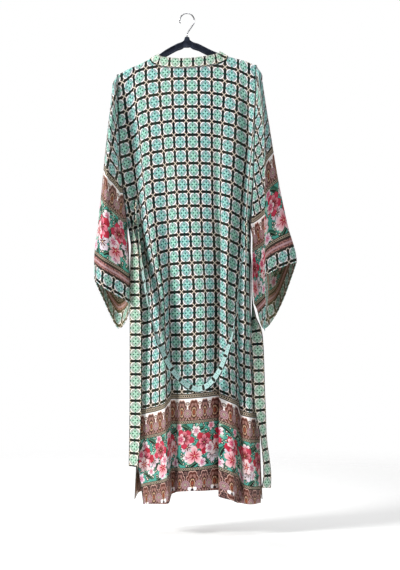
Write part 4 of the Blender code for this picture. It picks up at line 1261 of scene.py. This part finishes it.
def sleeve_grid(columns, rows, right):
    """Points of a sleeve, round it by down it. The rows from the underarm down are closed rings."""
    share = np.linspace(0, 1, columns + 1)[None, :]
    arc = np.pi * share
    x_top = (SIDE_RIGHT if right else SIDE_LEFT)[0][1]
    top_line = cloth_top(ARM_ENDS[right])
    top = top_line + SLEEVE_START * (1 - np.sin(arc))
    folds = SLEEVE_FOLDS[right]
    seam_cuff = SLEEVE_SEAM[right][-1][0]
    cuff = smooth([0, *column(folds, 0), 1], [seam_cuff, *column(folds, 1), seam_cuff], share[0])[None, :]
    closed = (UNDERARM - top[0, 0]) / (seam_cuff - top[0, 0])
    rows_above = round(rows * closed)
    above = np.linspace(0, 1, rows_above + 1) ** SLEEVE_CROWD * closed
    below = np.linspace(closed, 1, rows - rows_above + 1)[1:]
    down = np.concatenate([above, below])[:, None]
    drop = top + (cuff - top) * down
    lines = [lambda drop: (np.zeros(drop.shape), *sleeve_seam(right, -1, drop))]
    lines += [sleeve_line(row, right) for row in folds]
    lines += [lambda drop: (np.ones(drop.shape), *sleeve_seam(right, 1, drop))]
    x, y = through(lines, drop, np.broadcast_to(share, drop.shape))
    # The top edge is the short stretch of seam that goes over the end of the shoulder.
    edge = np.array([sleeve_seam(right, face, top_line + SLEEVE_START)[1][0] for face in (-1, 1)])
    over_x = x_top + (SEAM if right else -SEAM)
    over_y = edge[0] + (edge[1] - edge[0]) * (1 - np.cos(arc)) / 2
    spread = ease((drop - top) / SLEEVE_SPREAD)
    spread[:, [0, -1]] = 1.0
    x = over_x * (1 - spread) + x * spread
    y = over_y * (1 - spread) + y * spread
    return np.stack([x, y, drop], -1), rows_above


sleeve_cloth = printed_cloth("printed cloth of the sleeves", "sleeve")
sleeve_inside = printed_cloth("printed cloth inside the sleeves", "sleeve", wrong_side=True)
sleeves = {}
for side, right in (("left", False), ("right", True)):
    base, closed_from = sleeve_grid(*SLEEVE_GRID, right)
    share = np.linspace(0, 1, base.shape[1])
    places = 10 * np.broadcast_to(share, base.shape[:2])
    shape = creased(base, places, SLEEVE_CREASES[right], -1 if right else 1, SLEEVE_STILL)
    if not right:
        shape = shifted(shape, *LEFT_TUCK)
    round_it = lengths_across(base)
    across = round_it - 0.5 * round_it[:, -1:]
    folds = SLEEVE_FOLDS[right]
    ends = SLEEVE_SEAM[right][-1][0]
    cuff_line = RIGHT_PRINT if right else ((0, ends), *(row[:2] for row in folds), (1, ends))
    line = smooth(column(cuff_line, 0), column(cuff_line, 1), share)
    sleeve = cloth_wall(
        f"coat_sleeve_{side}", shape, across, line[None, :] - base[..., 2],
        (sleeve_cloth, sleeve_inside), WALL, closed_from=closed_from, flip=not right,
    )
    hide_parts(f"sleeve_{side}")
    sleeves[side] = shape

# The neckband
# One long strip folded double, sewn up one front edge, round the back of the neck and down the other.
# It stands up at the back of the neck and lies flat down the fronts.
BAND_WALL = 2.4
BAND_WIDTH = 36.0
BAND_GAP = 0.9  # from a front's edge to the band's
NECK_GAP = 0.7  # from the back's neck edge to the band's
BAND_LIFT = 0.6  # the band over the arms, past the difference of the two walls
BAND_COLUMNS = 12
BAND_PITCH = 36.0  # of the print along the neckband
# The way the band stands off its seam, as x, y and up, and its width: by distance down a front from
# the shoulder, and by x along the neck.
FRONT_WAY = (
    (0, 0.86, 0.00, 0.50, 29), (10, 0.86, 0.00, 0.50, 30), (60, 0.96, 0.05, 0.26, 34),
    (160, 1.0, 0.1, 0.0, BAND_WIDTH),
)
NECK_WAY = (
    (-111, 0.86, 0.00, 0.50, 29), (-107, 0.86, 0.00, 0.50, 29), (-96, 0.52, -0.06, 0.85, 29),
    (-81, 0.16, 0.02, 0.98, 29), (6, 0.00, 0.08, 0.98, 29), (81, -0.10, 0.04, 0.98, 30),
    (108, -0.50, -0.06, 0.86, 30), (119, -0.90, 0.00, 0.42, 27), (123, -0.90, 0.00, 0.42, 27),
)


def way_at(table, at):
    """x, y, up and width of the band at each place."""
    return np.stack([smooth(column(table, 0), column(table, i), at) for i in (1, 2, 3, 4)], -1)


def band_grid(columns, back, tile_top, front_left, front_right):
    """The neckband: up one front edge, round the back of the neck and down the other front edge."""
    neck = back[0][(tile_top > NECK_FLAT[0]) & (tile_top < NECK_FLAT[1])]
    ways = []
    for edge, side in ((front_left[::-1, -1], 1), (front_right[:, -1], -1)):
        fall = edge[:, 2] - edge[:, 2].min()
        ways.append(way_at(FRONT_WAY, fall) * [side, 1, 1, 1])
    ways = np.concatenate([ways[0], way_at(NECK_WAY, neck[:, 0]), ways[1]])
    seam = np.concatenate([front_left[::-1, -1], neck, front_right[:, -1]])
    front_rows = len(front_left)
    away = ways[:, :3] / np.linalg.norm(ways[:, :3], axis=1)[:, None] * [1, 1, -1]
    gap = np.full(len(seam), BAND_GAP)
    gap[front_rows:-front_rows] = NECK_GAP
    # The band is thicker than the cloth it is sewn to, so it lies a little higher over the arms.
    lift = 0.5 * (BAND_WALL - WALL) + BAND_LIFT
    face = np.sign(seam[:, 1])
    close = 1 - ease(np.abs(seam[:, 1]) / ROLL)
    seam = seam + away * gap[:, None]
    seam[:, 1] += face * lift * (1 - close)
    seam[:, 2] -= lift * close
    across = np.linspace(0, 1, columns + 1)
    return seam[:, None] + (away * ways[:, 3:])[:, None] * across[None, :, None]


strip_cloth = printed_cloth("printed cloth of the strips", "strip")
band_points = band_grid(BAND_COLUMNS, back_points, back_tiles, fronts["left"], fronts["right"])
band_across = lengths_across(band_points)
band_along = np.broadcast_to(lengths_down(band_points)[:, :1], band_across.shape)
band = cloth_wall(
    "coat_neckband", band_points, band_across + 0.5 * (TILE - BAND_WIDTH),
    band_along * TILE_HEIGHT / BAND_PITCH, (strip_cloth,), BAND_WALL, flip=True,
)
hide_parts("neckband")

# The belt
# One strip folded double, as wide as one repeat of the print. It hangs loosely through a loop at each
# side, in a deep curve across the back, and its two ends hang straight.
BELT_WALL = 2.0
# Its middle line and lie: x, drop, y, width, how far it is turned in degrees, and how its width slants.
BELT_ROUTE = (
    (-160, 1356, -18, 36, 40, 0.0), (-155, 1250, -20, 36, 18, 0.0), (-153, 1098, -24, 36, 6, 0.0),
    (-153, 948, -26, 36, 8, 0.0), (-155, 858, -26, 36, 26, 0.0), (-156, 744, -26, 34, 38, 0.0),
    (-159, 676, -22, 26, 62, 0.0), (-161, 636, -16, 15, 90, 0.0), (-154, 612, -13, 13, 90, 0.0),
    (-147, 630, -16, 14, 90, 0.0), (-144, 668, -26, 24, 84, 0.0), (-138, 726, -42, 33, 78, 0.0),
    (-128, 789, -62, 36, 76, 0.1), (-116, 858, -80, 36, 79, 0.2), (-99, 933, -90, 36, 90, 0.4),
    (-78, 996, -92, 36, 100, 0.5), (-51, 1053, -88, 36, 103, 0.5), (-21, 1092, -84, 36, 98, 0.5),
    (9, 1115, -82, 36, 93, 0.5), (32, 1122, -82, 36, 90, 0.5), (56, 1114, -84, 36, 86, 0.5),
    (94, 1071, -88, 36, 77, 0.5), (120, 1008, -90, 36, 79, 0.45), (138, 948, -88, 36, 88, 0.3),
    (149, 858, -82, 36, 97, 0.2), (159, 768, -74, 34, 98, 0.1), (168, 714, -68, 28, 94, 0.0),
    (171, 686, -58, 14, 90, 0.0), (177, 662, -55, 13, 90, 0.0), (184, 680, -52, 14, 90, 0.0),
    (189, 712, -36, 16, 90, 0.0), (193, 760, -16, 26, 90, 0.0), (195, 850, -10, 34, 90, 0.0),
    (200, 910, -16, 36, 70, 0.0), (208, 960, -24, 36, 20, 0.0), (213, 1040, -34, 36, -16, 0.0),
    (217, 1158, -36, 36, -20, 0.0), (230, 1278, -32, 36, -60, 0.0), (240, 1383, -26, 36, -50, 0.0),
    (237, 1419, -26, 36, -40, 0.0),
)
BELT_GATHERED = 30  # where it is narrower than this it bends over a loop
BELT_CROWD = 3.0  # there its rows stand this much closer
BELT_GRID = (12, 620)
BELT_PALER = (-40, -65)  # between these depths, in its free curve, its print turns paler


def belt_grid(columns, rows):
    """The belt along its route, as rows across it."""
    route = np.array(BELT_ROUTE, float)
    centre = route[:, [0, 2, 1]]
    length = np.concatenate([[0], np.cumsum(np.linalg.norm(np.diff(centre, axis=0), axis=1))])
    even = np.linspace(0, length[-1], rows * 3)
    crowd = np.where(route[:, 3] < BELT_GATHERED, BELT_CROWD, 1.0)
    tight = np.interp(even, length, crowd)
    pace = np.concatenate([[0], np.cumsum(tight[1:])])
    at = np.interp(np.linspace(0, pace[-1], rows + 1), pace, even)
    x, y, drop, width, turn, sag = (smooth(length, values, at) for values in (*centre.T, *route[:, 3:].T))
    middle = np.stack([x, y, drop], -1)
    along = np.gradient(middle, axis=0)
    along /= np.linalg.norm(along, axis=1)[:, None]
    turn = np.radians(turn)
    across = np.stack([np.cos(turn), -np.sin(turn), sag], -1)
    across -= (across * along).sum(axis=1)[:, None] * along
    across /= np.linalg.norm(across, axis=1)[:, None]
    share = np.linspace(-0.5, 0.5, columns + 1)
    return middle[:, None] + (across * width[:, None])[:, None] * share[None, :, None]


belt_points = belt_grid(*BELT_GRID)
belt_across = lengths_across(belt_points)
belt_middle = belt_points[:, BELT_GRID[0] // 2]
belt_along = np.broadcast_to(lengths_down(belt_middle[:, None]), belt_across.shape)
belt = cloth_wall(
    "belt_strip", belt_points, belt_across + 0.5 * (TILE - belt_across[:, -1:]),
    belt_along * TILE_HEIGHT / TILE, (strip_cloth,), BELT_WALL, flip=True,
)
paler = np.repeat(between(belt_middle[:, 1], *BELT_PALER), belt_points.shape[1]).astype(np.float32)
belt.data.attributes.new("paler", "FLOAT", "POINT").data.foreach_set("value", paler)
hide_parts("belt")

# The belt loops
# Narrow strips of the same cloth, sewn to the sides of the back at both ends. They stand off it, and
# the belt hangs through them.
LOOP_WIDTH = 7.0
LOOP_WALL = 1.6
LOOP_GAP = 1.6  # from the back's wall to a loop's ends
LOOP_SQUARE = 5  # how squarely a loop stands off the back between its ends
BACK_SAMPLES = 200  # across the back, where its depth is looked up
LOOP_GRID = (4, 48)
# Name, x, drops of both ends, and how far a loop stands off the back.
LOOPS = (("belt_loop_left", -154, 556, 632, 26), ("belt_loop_right", 176, 610, 700, 31))


def back_depth(x, drop):
    """Depth of the back's middle surface at an x and a drop."""
    sides = (TILE * smooth(FLARE, ends, drop)[0] for ends in SIDE_FLAT)
    flat = np.linspace(*sides, BACK_SAMPLES)
    xs, ys = through(BACK_LINES, np.full(flat.shape, float(drop)), flat)
    return float(ys[np.argmin(np.abs(xs - x))])


def loop_grid(columns, rows, x, top, low, bow):
    """A loop, as rows across it from its top end to its low end."""
    down = np.linspace(0, 1, rows + 1)
    drop = top + (low - top) * down
    across = x + LOOP_WIDTH * np.linspace(-0.5, 0.5, columns + 1)
    beside = (x - LOOP_WIDTH, x, x + LOOP_WIDTH)
    depth = np.array([min(back_depth(one, at) for one in beside) for at in drop])
    stand = bow * (1 - np.abs(2 * down - 1) ** LOOP_SQUARE)
    y = np.repeat((depth - 0.5 * (WALL + LOOP_WALL) - LOOP_GAP - stand)[:, None], columns + 1, 1)
    across = np.repeat(across[None], rows + 1, 0)
    return np.stack([across, y, np.repeat(drop[:, None], columns + 1, 1)], -1)


for name, x, top, low, bow in LOOPS:
    strip = loop_grid(*LOOP_GRID, x, top, low, bow)
    loop = cloth_wall(
        f"{name}_strip", strip, lengths_across(strip), lengths_down(strip), (strip_cloth,), LOOP_WALL
    )
    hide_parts(name)

# The stitching
# The hems, the cuffs and the edges of the neckband and belt are sewn with rows of short lockstitches in
# a pale cotton thread, which sink a little into the cloth.
HEM_STITCH, CUFF_STITCH, EDGE_STITCH = 18.0, 12.0, 2.2  # from an edge to its row of stitches
STITCH_PITCH, STITCH_LENGTH, STITCH_WIDTH = 3.2, 2.3, 0.42
STITCH_LIFT = 0.05  # from the cloth's face to the middle of a stitch

cotton, cotton_tree, cotton_shader = new_material("cotton thread")
twist = cotton_tree.nodes.new("ShaderNodeTexWave")
twist.inputs["Scale"].default_value = 900.0
twist.inputs["Distortion"].default_value = 2.0
twist_place = cotton_tree.nodes.new("ShaderNodeTexCoord")
cotton_tree.links.new(twist_place.outputs["Object"], twist.inputs["Vector"])
dyed_thread = over(cotton_tree, twist.outputs["Fac"], ink(150, 160, 150), ink(214, 216, 204))
cotton_tree.links.new(dyed_thread, cotton_shader.inputs["Base Color"])
cotton_shader.inputs["Roughness"].default_value = 0.7

stitching = bpy.data.node_groups.new("rows of stitches", "GeometryNodeTree")
stitching.interface.new_socket(name="Seams", in_out="INPUT", socket_type="NodeSocketGeometry")
sizes = {
    name: stitching.interface.new_socket(name=name, in_out="INPUT", socket_type="NodeSocketFloat")
    for name in ("Pitch", "Length", "Width")
}
thread_socket = stitching.interface.new_socket(
    name="Thread", in_out="INPUT", socket_type="NodeSocketMaterial"
)
stitching.interface.new_socket(name="Stitches", in_out="OUTPUT", socket_type="NodeSocketGeometry")
given = stitching.nodes.new("NodeGroupInput").outputs
paths = stitching.nodes.new("GeometryNodeMeshToCurve")
spots = stitching.nodes.new("GeometryNodeCurveToPoints")
spots.mode = "LENGTH"
stitch = stitching.nodes.new("GeometryNodeMeshCylinder")
stitch.inputs["Vertices"].default_value = 4
thin = stitching.nodes.new("ShaderNodeMath")
thin.operation = "MULTIPLY"
thin.inputs[1].default_value = 0.5
sewn = stitching.nodes.new("GeometryNodeInstanceOnPoints")
real = stitching.nodes.new("GeometryNodeRealizeInstances")
dyed = stitching.nodes.new("GeometryNodeSetMaterial")
for source, target in (
    (given["Seams"], paths.inputs["Mesh"]), (paths.outputs["Curve"], spots.inputs["Curve"]),
    (given["Pitch"], spots.inputs["Length"]), (given["Width"], thin.inputs[0]),
    (thin.outputs[0], stitch.inputs["Radius"]), (given["Length"], stitch.inputs["Depth"]),
    (spots.outputs["Points"], sewn.inputs["Points"]), (stitch.outputs["Mesh"], sewn.inputs["Instance"]),
    (spots.outputs["Rotation"], sewn.inputs["Rotation"]), (sewn.outputs[0], real.inputs[0]),
    (real.outputs[0], dyed.inputs["Geometry"]), (given["Thread"], dyed.inputs["Material"]),
    (dyed.outputs[0], stitching.nodes.new("NodeGroupOutput").inputs["Stitches"]),
):
    stitching.links.new(source, target)


def row_across(points, face, above, wall):
    """A row of stitches along a grid's last row, this far above it, on one face of the cloth."""
    surface = points + normals(points, face) * (0.5 * wall + STITCH_LIFT)
    below = lengths_down(points)
    row = []
    for at in range(points.shape[1]):
        length = below[:, at]
        row.append([np.interp(length[-1] - above, length, surface[:, at, i]) for i in range(3)])
    return np.array(row)


def rows_down(points, face, beside, wall):
    """Two rows of stitches down a strip, each this far from an edge, on one face."""
    surface = points + normals(points, face) * (0.5 * wall + STITCH_LIFT)
    width = lengths_across(points)
    share = beside / width[:, -1]
    at = np.arange(len(points))
    for one in (share, 1 - share):
        place = one * (points.shape[1] - 1)
        low = np.clip(place.astype(int), 0, points.shape[1] - 2)
        part = (place - low)[:, None]
        yield surface[at, low] * (1 - part) + surface[at, low + 1] * part


# Each row with the face, 1 or -1, that is the outer one on its piece.
seams = [
    row_across(back_points, 1, HEM_STITCH, WALL),
    row_across(fronts["left"], -1, HEM_STITCH, WALL),
    row_across(fronts["right"], 1, HEM_STITCH, WALL),
    row_across(sleeves["left"], -1, CUFF_STITCH, WALL),
    row_across(sleeves["right"], 1, CUFF_STITCH, WALL),
    *rows_down(band_points, 1, EDGE_STITCH, BAND_WALL),
    *rows_down(belt_points, 1, EDGE_STITCH, BELT_WALL),
]
seam_mesh = bpy.data.meshes.new("seams")
seam_points, seam_edges = [], []
for seam in seams:
    first = len(seam_points)
    seam_points.extend((seam * [MM, MM, -MM]).tolist())
    seam_edges.extend((first + i, first + i + 1) for i in range(len(seam) - 1))
seam_mesh.from_pydata(seam_points, seam_edges, [])
seam_lines = bpy.data.objects.new("seam_lines", seam_mesh)
bpy.context.scene.collection.objects.link(seam_lines)
sewing = seam_lines.modifiers.new("stitches", "NODES")
sewing.node_group = stitching
for name, size in (("Pitch", STITCH_PITCH), ("Length", STITCH_LENGTH), ("Width", STITCH_WIDTH)):
    sewing[sizes[name].identifier] = size * MM
sewing[thread_socket.identifier] = cotton
graph = bpy.context.evaluated_depsgraph_get()
stitch_mesh = bpy.data.meshes.new_from_object(seam_lines.evaluated_get(graph))
bpy.data.objects.remove(seam_lines)
stitch_mesh.name = "coat_stitches"
stitches = add_piece("coat_stitches", stitch_mesh)

# The floor and the light
# A plain pale round floor that fades into a white room. One soft light comes from the upper left, a weak
# one from the right, one from above, and one from beyond the coat, which lights its front.
FLOOR_DROP = 1560.0
FLOOR_RADIUS = 3200.0
FLOOR_SIDES = 96
FLOOR_GLOW = 0.22
FLOOR_FADES = 0.25  # from this share of its radius outwards

disc = bmesh.new()
bmesh.ops.create_circle(disc, cap_ends=True, segments=FLOOR_SIDES, radius=FLOOR_RADIUS * MM)
bmesh.ops.translate(disc, verts=disc.verts, vec=(0, 0, -FLOOR_DROP * MM))
floor_mesh = bpy.data.meshes.new("floor")
disc.to_mesh(floor_mesh)
disc.free()
paint, floor_tree, floor_shader = new_material("floor paint")
floor_nodes, floor_links = floor_tree.nodes, floor_tree.links
floor_shader.inputs["Base Color"].default_value = (0.9, 0.9, 0.9, 1)
floor_shader.inputs["Roughness"].default_value = 0.9
floor_shader.inputs["Emission Color"].default_value = (1, 1, 1, 1)
floor_shader.inputs["Emission Strength"].default_value = FLOOR_GLOW
floor_place = floor_nodes.new("ShaderNodeTexCoord")
level = floor_nodes.new("ShaderNodeVectorMath")
level.operation = "MULTIPLY"
level.inputs[1].default_value = (1, 1, 0)
from_middle = floor_nodes.new("ShaderNodeVectorMath")
from_middle.operation = "LENGTH"
fade = floor_nodes.new("ShaderNodeMapRange")
fade.interpolation_type = "SMOOTHSTEP"
fade.inputs["From Min"].default_value = FLOOR_FADES * FLOOR_RADIUS * MM
fade.inputs["From Max"].default_value = FLOOR_RADIUS * MM
fade.inputs["To Min"].default_value = 1.0
fade.inputs["To Max"].default_value = 0.0
floor_links.new(floor_place.outputs["Object"], level.inputs[0])
floor_links.new(level.outputs[0], from_middle.inputs[0])
floor_links.new(from_middle.outputs["Value"], fade.inputs["Value"])
floor_links.new(fade.outputs["Result"], floor_shader.inputs["Alpha"])
floor_mesh.materials.append(paint)
floor = bpy.data.objects.new("floor", floor_mesh)
bpy.context.scene.collection.objects.link(floor)

# Lights: name, place, size, power, colour.
LIGHTS = (
    ("key", (-2450, -1850, 650), 800, 104.0, (1.0, 1.0, 0.99)),
    ("fill", (2300, -1900, -500), 1600, 16.0, (0.94, 0.97, 1.0)),
    ("front", (-900, 2600, 300), 1400, 40.0, (1.0, 1.0, 1.0)),
    ("top", (0, -100, 1500), 1600, 30.0, (1.0, 1.0, 1.0)),
)
AIM = (0, 0, -750)  # the place that every light points at
for name, spot, size, power, colour in LIGHTS:
    light = bpy.data.lights.new(name, "AREA")
    light.size = size * MM
    light.energy = power
    light.color = colour
    lamp = bpy.data.objects.new(name, light)
    lamp.location = [v * MM for v in spot]
    way = mathutils.Vector(AIM) - mathutils.Vector(spot)
    lamp.rotation_euler = way.to_track_quat("-Z", "Y").to_euler()
    bpy.context.scene.collection.objects.link(lamp)

# The room looks white, and lights the coat more weakly than it looks.
ROOM_LOOKS, ROOM_LIGHTS = 1.0, 0.17
world = bpy.data.worlds.new("studio")
world.use_nodes = True
room = world.node_tree
seen = room.nodes.new("ShaderNodeLightPath")
strength = room.nodes.new("ShaderNodeMapRange")
strength.inputs["To Min"].default_value = ROOM_LIGHTS
strength.inputs["To Max"].default_value = ROOM_LOOKS
room.links.new(seen.outputs["Is Camera Ray"], strength.inputs["Value"])
room.links.new(strength.outputs["Result"], room.nodes["Background"].inputs["Strength"])
room.nodes["Background"].inputs["Color"].default_value = (1, 1, 1, 1)
bpy.context.scene.world = world
